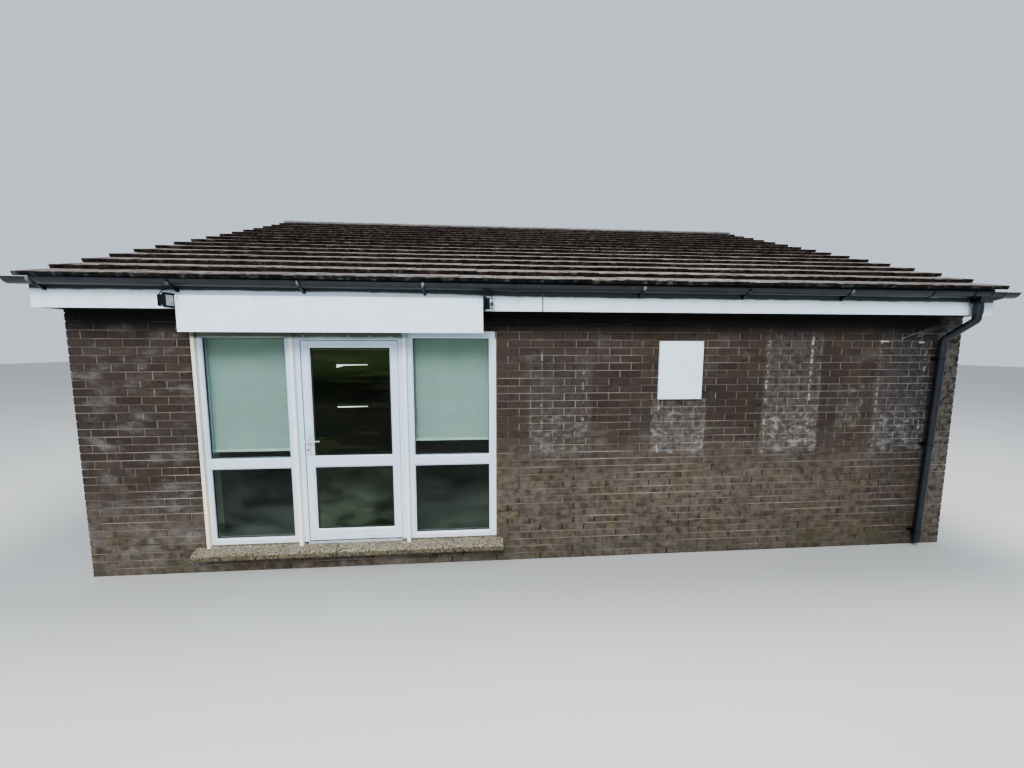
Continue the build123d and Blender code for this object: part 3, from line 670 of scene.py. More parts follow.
def mortar_bed(look):
    """Mortar between the courses, paler in stretches."""
    look.colour = look.ramp(
        look.noise(5, 5, (0.35, 0.35, 2.0)),
        (0.32, (0.060, 0.048, 0.040)),
        (0.50, (0.185, 0.160, 0.138)),
        (0.70, (0.350, 0.315, 0.280)),
    )
    look.shade((0.70, 0.68, 0.66), look.along("Z", 0.9, 1.5))
    look.shade((0.88, 0.86, 0.84), look.along("X", *DUST_REACH[::-1]))
    return look.colour


def mortar_look(name, stains=False):
    """Grey mortar, black in the low upright joints."""
    look = Look(name, 0.95, Specular_IOR_Level=0.15)
    bed = mortar_bed(look)
    look.colour = look.ramp(
        look.noise(2.8, 4),
        (0.34, (0.060, 0.050, 0.042)),
        (0.50, (0.150, 0.130, 0.112)),
        (0.68, (0.250, 0.225, 0.200)),
    )
    wall = look.linear(look.along("X", OPENING_LEFT - 0.02, OPENING_LEFT + 0.02), 0.8, 0.2)
    look.over((0.020, 0.016, 0.013), look.along("Z", 1.25, 0.75), wall, look.patches(0.62, 0.40, 3.5, 3))
    in_course = look.maths("FLOORED_MODULO", look.axis("Z"), COURSE)
    look.over(bed, look.maths("GREATER_THAN", in_course, BRICK_HEIGHT - ARRIS))
    sand = look.noise(320, 2)
    look.shade(look.between(sand, (0.6, 0.6, 0.6), (1.3, 1.3, 1.3)), 0.4)
    if stains:
        ghost_stains(look, 0.85)
        scratches(look)
    eaves_shade_and_damp(look, 0.86)
    return look.finish((sand, 0.0012, 0.8))


def plaster_look(name):
    look = Look(name, 0.9)
    look.colour = look.between(look.noise(1.4, 3), (0.30, 0.31, 0.27), (0.38, 0.39, 0.35))
    return look.finish((look.noise(35, 3), 0.001, 0.4))


def tile_look(name):
    """Weathered flat concrete tiles, darker and mossy at their lower edges."""
    look = Look(name, 0.9, Specular_IOR_Level=0.25)
    look.colour = look.ramp(
        look.tone(),
        (0.0, (0.130, 0.118, 0.112)),
        (0.3, (0.156, 0.142, 0.134)),
        (0.6, (0.169, 0.155, 0.147)),
        (0.85, (0.139, 0.118, 0.108)),
        (1.0, (0.186, 0.173, 0.164)),
    )
    look.shade((0.72, 0.68, 0.67), look.patches(0.35, 0.65, 0.9, 4))
    look.over((0.105, 0.062, 0.052), look.patches(0.52, 0.64, 9, 5, (1.0, 1.0, 1.6)), 0.5)
    grit = look.noise(160, 3)
    look.shade(look.between(grit, (0.5, 0.5, 0.5), (1.45, 1.43, 1.4)), 0.5)
    look.over((0.34, 0.33, 0.30), look.patches(0.56, 0.66, 11, 6), 0.35)
    up_tile = look.maths("SUBTRACT", look.axis("Z"), EAVES_TIP)
    up_tile = look.maths("FLOORED_MODULO", up_tile, GAUGE * math.sin(PITCH))
    moss = look.linear(look.smooth(up_tile, *MOSSY_EDGE), 0.10, look.noise(10, 6))
    look.over((0.026, 0.018, 0.015), look.smooth(moss, 0.56, 0.66), 0.85)
    look.over((0.045, 0.036, 0.033), look.along("Z", *OLD_TILES), 0.4)
    return look.finish((grit, 0.0016, 0.8), (look.noise(30, 4), 0.003, 0.6))


def tile_edge_look(name, dark, middle, light):
    """Lower edges of the tiles: dark, partly moss and partly painted shade on faces that look down, with
    paler patches where the tile shows.
    """
    look = Look(name, 0.95, Specular_IOR_Level=0.2)
    look.colour = look.ramp(look.noise(14, 5), (0.38, dark), (0.56, middle), (0.72, light))
    return look.finish((look.noise(90, 3), 0.003, 0.8))


def moss_look(name):
    look = Look(name, 1.0, Specular_IOR_Level=0.1)
    look.colour = look.between(look.noise(40, 4), (0.006, 0.005, 0.003), (0.034, 0.027, 0.015))
    return look.finish((look.noise(260, 3), 0.004, 1.0))


def plain_look(name, colour, roughness, spread, scale, grain=0.0004, dirt=0.0, **sockets):
    """One material with soft colour variation, fine grain and, where asked, dirt in patches."""
    look = Look(name, roughness, **sockets)
    dark = tuple(channel * (1 - spread) for channel in colour)
    light = tuple(min(1.0, channel * (1 + spread)) for channel in colour)
    look.colour = look.between(look.noise(scale, 3), dark, light)
    if dirt:
        look.over((0.08, 0.075, 0.06), look.patches(0.5, 0.75, scale * DIRT_SCALE, 5), dirt)
    return look.finish((look.noise(scale * GRAIN_SCALE, 2), grain, 0.5))


def upvc_look(name, colour, green, until=None, rise=0.0, gloss=0.5, dark=(0.030, 0.036, 0.012)):
    """White plastic with faint grime, and a dark green band of growth and painted shade that starts and is
    full at the heights in green.

    The band is weak beyond the x in until, and starts higher by rise at the left end.
    """
    look = Look(name, 0.35, Specular_IOR_Level=gloss, Coat_Weight=gloss * 0.3, Coat_Roughness=0.3)
    look.colour = colour
    # Painted light from the ground brightens the lower frames
    look.shade((1.28, 1.16, 1.06), look.along("Z", *GROUND_LIGHT_ON_FRAMES))
    look.over((0.42, 0.41, 0.35), look.patches(0.50, 0.78, 4, 5, (1.0, 1.0, 0.35)), 0.22)
    look.over((0.20, 0.19, 0.16), look.patches(0.70, 0.78, 160, 2), 0.35)
    # Green band: growth with painted shade under the sign and the gutter
    height = look.linear(look.along("X", *GROWTH_AND_SHADE_RISE), -rise, look.ragged("Z", 0.02, 7, 4))
    start, full = green
    reach = look.linear(look.along("X", *until), 0.8, 0.2) if until else 1.0
    tone = look.mix(look.smooth(height, start + 0.008, full + 0.004), (0.17, 0.17, 0.095), dark)
    look.over(tone, look.smooth(height, start, full), 0.92, reach)
    return look.finish((look.noise(25, 3), 0.0004, 0.3))


def trim_look(name):
    """Grey plastic of the fascia's end trim, and the dark joint at the middle of the fascia."""
    look = Look(name, 0.4)
    look.colour = look.between(look.noise(12, 3), (0.42, 0.44, 0.46), (0.52, 0.54, 0.56))
    look.over((0.10, 0.11, 0.12), look.along("X", *TRIM_CHANGE))
    return look.finish((look.noise(60, 3), 0.0004, 0.4))


def glass_look(name, tint, dust_and_reflection, streaks=0.0):
    """Clear glass with a film, thicker on the panes below the middle rail, that is partly dust and partly a
    painted reflection of the ground, and painted reflection streaks above it.
    """
    look = Look(name, 0.01, Transmission_Weight=1.0, IOR=GLASS_IOR)
    low = look.along("Z", MIDDLE_RAIL + 0.05, MIDDLE_RAIL - 0.05)
    foot = look.linear(look.along("Z", *PANE_FADE), 1.3, 0.5)
    smear = look.patches(0.25, 0.75, 2.5, 4, (1.0, 1.0, 2.2))
    film = look.times(look.linear(look.times(low, foot), dust_and_reflection, 0.004), smear)
    look.colour = tint
    # Paler green on the lower panes: painted reflection of the ground
    look.over((0.43, 0.50, 0.43), low, 0.7)
    if streaks:
        # Warm horizontal bars: painted reflections in the upper pane
        reflection_bars = look.patches(0.46, 0.66, 3.2, 5, (0.8, 1.0, 7.0))
        upper = look.maths("SUBTRACT", 1.0, low)
        bright = look.linear(reflection_bars, 0.5, look.along("Z", 1.80, 2.12))
        film = look.linear(look.times(upper, bright), streaks, film)
        look.over((0.34, 0.28, 0.12), upper, reflection_bars, 0.5)
    look.set("Transmission Weight", look.maths("SUBTRACT", 1.0, film))
    return look.finish((look.noise(1.5, 1), 0.004, 0.15))


def fabric_look(name):
    """Plain woven blind cloth."""
    look = Look(name, 0.9, Sheen_Weight=0.2)
    look.colour = look.between(look.noise(3, 3), (0.455, 0.525, 0.54), (0.53, 0.60, 0.625))
    waves = look.noise(4.5, 4, (0.7, 1.0, 2.6))
    look.shade(look.between(waves, (0.92, 0.93, 0.92), (1.07, 1.06, 1.06)), 0.8)
    look.shade((0.78, 0.81, 0.68), look.along("Z", *BLIND_SHADE))
    weave = look.maths("MAXIMUM", look.bands("X", 260), look.bands("Z", 260))
    look.over((0.40, 0.48, 0.44), weave, 0.12)
    return look.finish((weave, 0.0003, 0.5))


def concrete_look(name):
    """Sill concrete with exposed pebbles and yellow-green lichen."""
    look = Look(name, 0.9, Specular_IOR_Level=0.25)
    look.colour = look.ramp(
        look.noise(60, 5),
        (0.34, (0.07, 0.058, 0.042)),
        (0.5, (0.26, 0.22, 0.16)),
        (0.66, (0.50, 0.44, 0.34)),
    )
    cells = look.cells(130)
    pebble = look.smooth(cells["Distance"], 0.42, 0.30)
    look.over(look.mix(0.6, (0.40, 0.35, 0.29), cells["Color"], "MULTIPLY"), pebble, 0.5)
    look.over((0.38, 0.37, 0.19), look.patches(0.50, 0.66, 20, 5), 0.5)
    look.over((0.20, 0.135, 0.085), look.patches(0.50, 0.64, 7, 5, (0.5, 1.0, 1.0)), 0.55)
    nose = look.linear(look.along("Y", *SILL_GRIME), 0.45, 0.4)
    look.over((0.035, 0.033, 0.022), look.patches(0.54, 0.66, 44, 5), nose)
    look.shade((0.55, 0.53, 0.50), look.along("Z", SILL_FACE + 0.004, SILL_FACE - 0.012))
    return look.finish((pebble, 0.003, 0.7), (look.noise(150, 3), 0.0015, 0.7))


def pebble_look(name):
    """Pebbles of several colours, dulled by dirt and growth."""
    look = Look(name, 0.7)
    look.colour = look.ramp(
        look.tone(),
        (0.0, (0.07, 0.06, 0.05)),
        (0.3, (0.26, 0.215, 0.16)),
        (0.55, (0.34, 0.30, 0.24)),
        (0.8, (0.22, 0.15, 0.105)),
        (1.0, (0.60, 0.57, 0.51)),
    )
    look.over((0.05, 0.052, 0.03), look.patches(0.54, 0.68, 9, 5), 0.7)
    return look.finish((look.noise(300, 2), 0.0006, 0.5))


def bracket_look(name):
    """Black plastic, with a painted highlight in patches where the bracket wraps the gutter."""
    look = Look(name, 0.35)
    low, high = corners("gutter_brackets")
    middle = (low.z + high.z) / 2
    painted_highlight = look.along("Z", middle - BRACKET_FADE, middle + BRACKET_FADE)
    look.colour = (0.005, 0.006, 0.008)
    # Painted highlight of the sky on the strap
    look.over((0.17, 0.175, 0.18), painted_highlight, look.patches(0.38, 0.62, 22, 3))
    return look.finish((look.noise(300, 2), 0.0003, 0.5))


def lens_look(name):
    """Ribbed lens of a floodlight."""
    look = Look(name, 0.25, Coat_Weight=0.4)
    look.colour = look.between(look.noise(20, 3), (0.22, 0.22, 0.22), (0.52, 0.52, 0.51))
    return look.finish((look.bands("Z", 90), 0.001, 0.5))


BRICK = brick_look("brick")
STAINED_BRICK = brick_look("front_brick", stains=True)
MORTAR_LOOK = mortar_look("mortar")
STAINED_MORTAR = mortar_look("front_mortar", stains=True)
PLASTER = plaster_look("inside_plaster")
TILE = tile_look("roof_tile")
# Near-black tile edges against paler tops: partly moss and partly painted shade on the faces that look down
TILE_DARK = tile_edge_look("tile_edge", (0.006, 0.004, 0.003), (0.034, 0.021, 0.018), (0.120, 0.070, 0.060))
EAVES_EDGE = tile_edge_look(
    "eaves_tile_edge", (0.008, 0.007, 0.006), (0.026, 0.024, 0.023), (0.13, 0.13, 0.12)
)
MOSS = moss_look("moss")
UPVC = upvc_look(
    "white_plastic", (0.63, 0.74, 0.87), HEAD_GREEN, GREEN_END, gloss=0.3, dark=(0.050, 0.056, 0.020)
)
COVER = upvc_look("cover_plastic", (0.80, 0.84, 0.86), HEAD_GREEN, GREEN_END)
POST = upvc_look("yellowed_plastic", (0.80, 0.77, 0.66), HEAD_GREEN)
# Fascia: its dark band under the gutter is growth with a painted shadow of the gutter
BOARD = upvc_look(
    "white_board", (0.70, 0.80, 0.89), BOARD_GREEN, rise=0.026, gloss=0.08, dark=(0.005, 0.007, 0.003)
)
TRIM = trim_look("grey_trim_plastic")
GLASS = glass_look("window_glass", (0.73, 0.83, 0.76), 0.042)
# Door glass: its dark green tint and its streaks are painted reflections of the hedge
DOOR_GLASS = glass_look("door_glass", (0.28, 0.40, 0.15), 0.10, 0.065)
BRACKET = bracket_look("bracket_plastic")
LENS = lens_look("light_lens")
CLOTH = fabric_look("blind_cloth")
CONCRETE = concrete_look("sill_concrete")
PEBBLE = pebble_look("sill_pebbles")
# Plain materials: name, colour, roughness, spread of the colour, scale of its patches, grain and dirt
REVEAL = plain_look("reveal_paint", (0.78, 0.82, 0.74), 0.6, 0.08, 5)
CEMENT = plain_look("cement", (0.30, 0.28, 0.26), 0.9, 0.2, 6, 0.001, 0.4)
RIDGE = plain_look("ridge_concrete", (0.150, 0.140, 0.136), 0.9, 0.4, 5, 0.0015, 0.5)
# Soffit near black: painted shade under the eaves, with dirt
SOFFIT = plain_look("shaded_dirty_soffit", (0.013, 0.012, 0.010), 0.8, 0.4, 9, 0.0004, 0.1, Specular_IOR_Level=0.2)
BLACK = plain_look("black_plastic", (0.013, 0.015, 0.019), 0.36, 0.3, 6, 0.0003, 0.2)
PIPE = plain_look("pipe_plastic", (0.008, 0.011, 0.016), 0.38, 0.3, 6, 0.0003, 0.15)
FITTING = plain_look("black_fitting", (0.005, 0.006, 0.008), 0.28, 0.3, 16, 0.0003, 0.15)
RUBBER = plain_look("black_gasket", (0.012, 0.012, 0.012), 0.6, 0.3, 20)
METAL = plain_look("mill_aluminium", (0.55, 0.55, 0.54), 0.4, 0.15, 14, 0.0003, 0.3, Metallic=1.0)
WHITE_METAL = plain_look("white_enamel", (0.80, 0.82, 0.83), 0.25, 0.06, 10, 0.0002, 0.1)
HANDLE = plain_look("handle_enamel", (0.60, 0.64, 0.68), 0.3, 0.10, 16, 0.0002, 0.2)
STEEL = plain_look("screw_steel", (0.40, 0.38, 0.35), 0.4, 0.3, 60, 0.0002, 0.4, Metallic=1.0)
SIGN = plain_look("sign_face", (0.78, 0.89, 0.99), 0.32, 0.03, 2, 0.0002, 0.04)
CASTING = plain_look(
    "black_casting", (0.006, 0.006, 0.007), 0.6, 0.3, 12, 0.0005, 0.1, Specular_IOR_Level=0.2
)
BAR = plain_look("white_bar", (0.82, 0.85, 0.84), 0.4, 0.05, 10)
POINTING = plain_look("old_pointing", (0.155, 0.125, 0.105), 0.9, 0.35, 14, 0.001, 0.3)
SPACER = plain_look("pane_spacer", (0.30, 0.34, 0.27), 0.5, 0.2, 20)
FLOORING = plain_look("floor_sheet", (0.13, 0.155, 0.12), 0.5, 0.15, 3, 0.0004, 0.2)
CEILING = plain_look("ceiling_paint", (0.70, 0.70, 0.68), 0.9, 0.05, 2)
TAPE = plain_look("old_tape", (0.75, 0.78, 0.72), 0.7, 0.08, 30)


# Walls
def wall_block(parts, points, start, end, inside=()):
    """Mortar body: an outline in Y and Z between two X, with plaster on the numbered sides."""
    first = len(parts.faces) + 1
    parts.rings([[(x, y, z) for y, z in points] for x in (start, end)])
    for side in inside:
        parts.looks[first + side] = PLASTERED


def wall_top(behind):
    """Height of a wall's top at a distance behind its outer face."""
    return LEFT_WALL_HIGH.z - (WALL - behind) * SLOPE


def front_outline(bottom, turn=1):
    """Section of the front wall, or of the back wall with turn -1."""
    outer = turn * (FRONT + MORTAR_DEPTH)
    inner = turn * (FRONT + WALL)
    outline = [(outer, bottom), (inner, bottom), (inner, wall_top(WALL)), (outer, wall_top(MORTAR_DEPTH))]
    return outline[::turn]


def front_piece(parts, node):
    parts.make(node + "_bricks", [STAINED_MORTAR, STAINED_BRICK, PLASTER, REVEAL], "brick", node)


def left_pier():
    parts = Parts()
    wall_block(parts, front_outline(0), LEFT + MORTAR_DEPTH, OPENING_LEFT, inside=(1,))
    parts.looks[-1] = PAINTED
    brickwork(parts, PIER_FACE, LEFT, OPENING_LEFT, 0, EAVES)
    brickwork(parts, LEFT_FACE, -FRONT - WALL, -FRONT, 0, wall_top(WALL / 2))
    front_piece(parts, "front_wall_left")


def right_wall():
    parts = Parts()
    wall_block(parts, front_outline(0), OPENING_RIGHT, RIGHT - MORTAR_DEPTH, inside=(1,))
    brickwork(parts, FRONT_FACE, OPENING_RIGHT, RIGHT, 0, EAVES)
    brickwork(parts, RIGHT_FACE, FRONT, FRONT + WALL, 0, wall_top(WALL / 2))
    front_piece(parts, "front_wall_right")


def wall_over_shopfront():
    bottom = corners("front_wall_over_shopfront")[0].z
    parts = Parts()
    wall_block(parts, front_outline(bottom), OPENING_LEFT, OPENING_RIGHT, inside=(0, 1))
    brickwork(parts, FRONT_FACE, OPENING_LEFT, OPENING_RIGHT, bottom, EAVES)
    front_piece(parts, "front_wall_over_shopfront")


def wall_under_shopfront():
    low, high = corners("front_wall_under_shopfront")
    parts = Parts()
    parts.box((low.x, low.y + MORTAR_DEPTH, low.z), high)
    brickwork(parts, FRONT_FACE, low.x, high.x, 0, high.z)
    front_piece(parts, "front_wall_under_shopfront")


def back_wall():
    parts = Parts()
    wall_block(parts, front_outline(0, -1), LEFT + MORTAR_DEPTH, RIGHT - MORTAR_DEPTH, inside=(1,))
    brickwork(parts, BACK_FACE, LEFT, RIGHT, 0, EAVES)
    brickwork(parts, LEFT_FACE, FRONT, FRONT + WALL, 0, wall_top(WALL / 2))
    brickwork(parts, RIGHT_FACE, -FRONT - WALL, -FRONT, 0, wall_top(WALL / 2))
    parts.make("back_wall_bricks", [MORTAR_LOOK, BRICK, PLASTER], "brick", "back_wall")


def gable(name, node, face):
    """Side wall: mortar body with brickwork cut to the roof slope."""
    low, high = corners(node)
    ridge = wall_top(BACK)
    outline = [(low.y, 0), (high.y, 0), (high.y, wall_top(WALL)), (0, ridge), (low.y, wall_top(WALL))]
    outward = face.out.x
    ends = sorted((face.start.x - outward * MORTAR_DEPTH, face.start.x - outward * WALL))
    parts = Parts()
    wall_block(parts, outline, *ends)
    parts.looks[0 if outward > 0 else -1] = PLASTERED
    slopes = ((-SLOPE, 1, ridge), (SLOPE, 1, ridge))
    brickwork(parts, face, low.y, high.y, 0, ridge, slopes)
    parts.make(name, [MORTAR_LOOK, BRICK, PLASTER], "brick", node)


# Roof
# Material numbers of a roof slope, after the tops of its tiles
TILE_SIDE = 1
TILE_BED = 2
TILE_EAVES = 3


def on_slope(x, along, lift):
    """Point on the front slope: along it from the eaves and lift off the battens."""
    y = EDGE + along * math.cos(PITCH) - lift * math.sin(PITCH)
    z = EAVES_TIP + along * math.sin(PITCH) + lift * math.cos(PITCH)
    return Vector((x, y, z))


def roof_tile(parts, x0, x1, along, chance, edge_look):
    """Flat interlocking tile: rounded lower edge, worn corners and a small step to its neighbour."""
    step = chance.uniform(0, TILE_STEP)
    drop = chance.uniform(0, TILE_DROP)
    start = along + chance.uniform(0, TILE_SLIP)
    skew = chance.uniform(-TILE_SKEW, TILE_SKEW)
    tone = chance.random()
    left = chance.uniform(0, TILE_CHIP)
    right = chance.uniform(0, TILE_CHIP)
    length = GAUGE + TILE_LAP
    width = x1 - x0
    across = (0, TILE_EDGE, width / 2, width - TILE_EDGE, width)
    chips = (left, left / 3, 0, right / 3, right)
    stations = (0, TILE_EDGE, length / 2, length)
    upper = []
    lower = []
    for station in stations:
        top = TILE_BUTT * (1 - station / GAUGE) - drop - (0 if station else TILE_ROUND)
        for place, rise, chip in zip(across, TILE_CROWN, chips):
            s = start + station + skew * (place / width) + (chip if station <= TILE_EDGE else 0)
            lift = top + rise - step * (1 - place / width) * (1 - station / length)
            upper.append(on_slope(x0 + place, s, max(lift, -TILE_THICKNESS)))
            lower.append(on_slope(x0 + place, s, lift - TILE_THICKNESS + TILE_HOLLOW))
    parts.slab(upper, lower, len(across), tone, edge_look)


def tile_columns(course):
    """Left and right end of each tile of a course, laid in broken bond."""
    count = round(2 * VERGE / TILE_COVER)
    cover = 2 * VERGE / count
    starts = [-VERGE + cover * n for n in range(count + 1)]
    if course % 2:
        starts = [-VERGE] + [-VERGE + cover * (n + 0.5) for n in range(count)] + [VERGE]
    half = TILE_GAP / 2
    return [(a + half, b - half) for a, b in zip(starts, starts[1:])]


def roof_bed(parts):
    """Body of the slope under the tiles, with pointed verges."""
    start = (FASCIA_BACK - EDGE) / math.cos(PITCH)
    end = -EDGE / math.cos(PITCH)
    ring = ((start, -ROOF_BED), (end, -ROOF_BED), (end, -TILE_SINK), (start, -TILE_SINK))
    sides = (BED_INSET - VERGE, VERGE - BED_INSET)
    parts.rings([[on_slope(x, along, lift) for along, lift in ring] for x in sides], look=TILE_BED)


def turned(points):
    """The same points on the back slope."""
    return [Vector((-point.x, -point.y, point.z)) for point in points]


def roof(name, node, back, seed):
    parts = Parts()
    chance = random.Random(seed)
    roof_bed(parts)
    for course in range(COURSES):
        for x0, x1 in tile_columns(course):
            roof_tile(parts, x0, x1, GAUGE * course, chance, TILE_SIDE if course else TILE_EAVES)
    if back:
        parts.points = turned(parts.points)
    parts.make(name, [TILE, TILE_DARK, CEMENT, EAVES_EDGE], "roof_tile", node)


def round_outline(sides, turn=0.0):
    """Cosine and sine of the corners of a regular outline."""
    angles = [turn + math.tau * number / sides for number in range(sides)]
    return [(math.cos(angle), math.sin(angle)) for angle in angles]


def clump(parts, centre, size, chance):
    """Low dome of moss with an uneven outline."""
    x, along, lift = centre
    outline = round_outline(CLUMP_SIDES, chance.random() * math.tau)
    reach = [size * chance.uniform(*CLUMP_REACH) for corner in outline]
    rings = []
    for level, share in CLUMP_LEVELS:
        ring = []
        for (across, up), far in zip(outline, reach):
            beside = across * far * share * CLUMP_WIDTH
            beyond = up * far * share * CLUMP_DEPTH
            ring.append(on_slope(x + beside, along + beyond, lift + level * size))
        rings.append(ring)
    parts.rings(rings, chance.random())


def moss(name, back, seed):
    """Moss along the lower edges of the tiles and in their joints."""
    parts = Parts()
    chance = random.Random(seed)
    for number in range(MOSS_CLUMPS):
        course = chance.randrange(1, COURSES)
        x = chance.uniform(-VERGE + MOSS_BORDER, VERGE - MOSS_BORDER)
        size = chance.uniform(*CLUMP_SIZES)
        clump(parts, (x, GAUGE * course - size * CLUMP_OVERHANG, CLUMP_LIFT), size, chance)
    if back:
        parts.points = turned(parts.points)
    parts.make(name, [MOSS], "roof_tile")


# Sill
SILL_NOSE_HEIGHT = 0.053
SILL_STEP = 0.012
SILL_CHAMFER = 0.008
SILL_STATION = 0.012
SILL_WEAR = 0.0025
SILL_CHIP = 0.016
CHIP_CHANCE = 0.035
CHIP_FADE = 0.45
CHIPPED_END = 0.06
PEBBLES = 3600
PEBBLED_LENGTH = 2.9
PEBBLE_SIZES = (0.002, 0.0055)
PEBBLE_SIDES = 6
PEBBLE_SQUASH = (0.6, 1.0)
# Rings of a pebble: height and reach, as shares of its size
PEBBLE_LEVELS = ((-0.3, 0.9), (0.12, 1.0), (0.28, 0.55))
PEBBLE_BORDER = 0.008
PEBBLE_ENDS = 0.01
PEBBLE_NOSE = 0.02
SILL_SEED = 31
FRAME_FRONT, FRAME_BOTTOM = corners("left_window_frame")[0].yz
SILLS = solids("sill_slabs")
SILL_NOSE = SILLS[0][0].y
SILL_BOTTOM = SILLS[0][0].z


def sill_height(y):
    """Height of the sloping top of the sill in front of the frames."""
    nose_top = SILL_BOTTOM + SILL_NOSE_HEIGHT
    share = (y - SILL_NOSE) / (FRAME_FRONT - SILL_NOSE)
    return nose_top + (FRAME_BOTTOM - SILL_STEP - nose_top) * share


def worn_section(x, chance, chip):
    """Section of the sill in front of the wall, worn and chipped at its nose."""
    wear = [chance.uniform(0, SILL_WEAR) for corner in range(5)]
    ring = [(x, SILL_NOSE + wear[0], SILL_BOTTOM), (x, FRONT, SILL_BOTTOM), (x, FRONT, sill_height(FRONT))]
    for share in (0.7, 0.4):
        y = SILL_NOSE + (FRONT - SILL_NOSE) * share
        ring.append((x, y, sill_height(y) - chance.uniform(0, SILL_WEAR / 2)))
    edge = SILL_NOSE + SILL_CHAMFER + wear[1] + chip
    ring.append((x, edge, sill_height(edge) - wear[2] / 2))
    low = SILL_BOTTOM + SILL_NOSE_HEIGHT - SILL_CHAMFER
    ring.append((x, SILL_NOSE + wear[3] + chip / 4, low - wear[4] - chip))
    ring.append((x, SILL_NOSE + wear[0] / 2, SILL_BOTTOM + SILL_NOSE_HEIGHT / 3))
    return ring


def worn_nose(parts, low, high, chance):
    """Nose of one slab, with chips that fade to the right and a chipped left end."""
    count = round((high.x - low.x) / SILL_STATION)
    rings = []
    chip = 0
    for number in range(count + 1):
        start = chance.uniform(0, SILL_CHIP) if chance.random() < CHIP_CHANCE else 0
        chip = max(start, chip * CHIP_FADE)
        near_end = max(0, 1 - number * SILL_STATION / CHIPPED_END) if low.x < OPENING_LEFT else 0
        x = low.x + (high.x - low.x) * number / count
        rings.append(worn_section(x, chance, max(chip, near_end * SILL_CHIP)))
    parts.rings(rings)


def pebble(parts, x, y, size, chance):
    """Rounded pebble that stands a little out of the sill's top."""
    outline = round_outline(PEBBLE_SIDES, chance.random() * math.tau)
    squash = chance.uniform(*PEBBLE_SQUASH)
    rings = []
    for rise, share in PEBBLE_LEVELS:
        ring = []
        for across, up in outline:
            ahead = y + up * size * share * squash
            ring.append((x + across * size * share, ahead, sill_height(ahead) + rise * size))
        rings.append(ring)
    parts.rings(rings, chance.random(), 1)


def sills(name):
    """Two slabs of pebbled concrete: a worn nose in front of the wall and a step under the frames."""
    parts = Parts()
    chance = random.Random(SILL_SEED)
    openings = ((OPENING_LEFT, SILLS[0][1].x), (SILLS[1][0].x, OPENING_RIGHT))
    for (low, high), (left, right) in zip(SILLS, openings):
        worn_nose(parts, low, high, chance)
        step = FRAME_BOTTOM - SILL_STEP
        parts.box((left, FRONT, low.z), (right, high.y, step))
        parts.box((left, FRAME_FRONT + SILL_STEP, step), (right, high.y, high.z))
        for number in range(round(PEBBLES * (high.x - low.x) / PEBBLED_LENGTH)):
            x = chance.uniform(low.x + PEBBLE_ENDS, high.x - PEBBLE_ENDS)
            y = chance.uniform(SILL_NOSE + PEBBLE_NOSE, FRAME_FRONT - PEBBLE_BORDER)
            if left < x < right or y < FRONT - PEBBLE_BORDER:
                pebble(parts, x, y, chance.uniform(*PEBBLE_SIZES), chance)
    parts.make(name, [CONCRETE, PEBBLE], "concrete", "sill_slabs")


# Blinds
BLIND_COLUMNS = 40
BLIND_ROWS = 50
BLIND_RIPPLE = 0.0006
BLIND_SEED = 20


def blind(name, index):
    """Blind cloth that hangs with slight ripples, inside its solid's width and height."""
    low, high = solids("blind_sheets")[index]
    width = high.x - low.x
    height = high.z - low.z
    middle = (low.y + high.y) / 2
    phase = random.Random(BLIND_SEED + index).uniform(0, math.tau)
    points = []
    for row in range(BLIND_ROWS + 1):
        for column in range(BLIND_COLUMNS + 1):
            u = column / BLIND_COLUMNS
            v = row / BLIND_ROWS
            ripple = BLIND_RIPPLE * math.sin(9 * u + 3 * v + phase) * (1 - v)
            points.append((low.x + width * u, middle + ripple, low.z + height * v))
    parts = Parts()
    parts.add(points, grid(len(points), BLIND_COLUMNS + 1))
    piece = parts.make(name, [CLOTH], "blind_fabric", "blind_sheets")
    for polygon in piece.data.polygons:
        polygon.use_smooth = True


# Panes, lights and lock
WINDOW_GASKET = 0.005
DOOR_GASKET = 0.013
GASKET_RISE = 0.002
SPACER_WIDTH = 0.009
SPACER_DEPTHS = (0.006, 0.018)
LENS_BORDER = 0.017
LENS_RECESS = 0.004
LIGHT_DEPTH = 0.112
LOCK_FACE = 0.014
LOCK_DROP = 0.087
LOCK_INSET = 0.022
LOCK_RADIUS = 0.0085
LOCK_RISE = 0.0004
HANDLE_MIDDLE = 0.144


def gaskets(name, node, body, width, spacer=False):
    """Black gasket outside round each pane, and where it shows the spacer bar in the top of the pane."""
    parts = Parts()
    panes = solids(node)
    for low, high in panes:
        near = low.y - GASKET_RISE
        parts.box((low.x, near, low.z), (high.x, low.y, low.z + width))
        parts.box((low.x, near, high.z - width), (high.x, low.y, high.z))
        parts.box((low.x, near, low.z + width), (low.x + width, low.y, high.z - width))
        parts.box((high.x - width, near, low.z + width), (high.x, low.y, high.z - width))
    if spacer:
        low, high = max(panes, key=lambda pane: pane[1].z)
        near, far = SPACER_DEPTHS
        top = high.z - width
        bottom = top - SPACER_WIDTH
        parts.box((low.x + width, low.y + near, bottom), (high.x - width, low.y + far, top), look=1)
    parts.make(name, [RUBBER, SPACER], "black_upvc", body=body)


def lenses(name):
    """Ribbed lens in the recess of each floodlight; both face the sign."""
    parts = Parts()
    left, right = solids("floodlights")
    for (low, high), face, into in ((left, left[1].x, -1), (right, right[0].x, 1)):
        start, end = sorted((face + into * LENS_RECESS, face + into * LENS_RECESS / 4))
        far = low.y + LIGHT_DEPTH - LENS_BORDER
        parts.box((start, low.y + LENS_BORDER, low.z + LENS_BORDER), (end, far, high.z - LENS_BORDER))
    parts.make(name, [LENS], "glass")


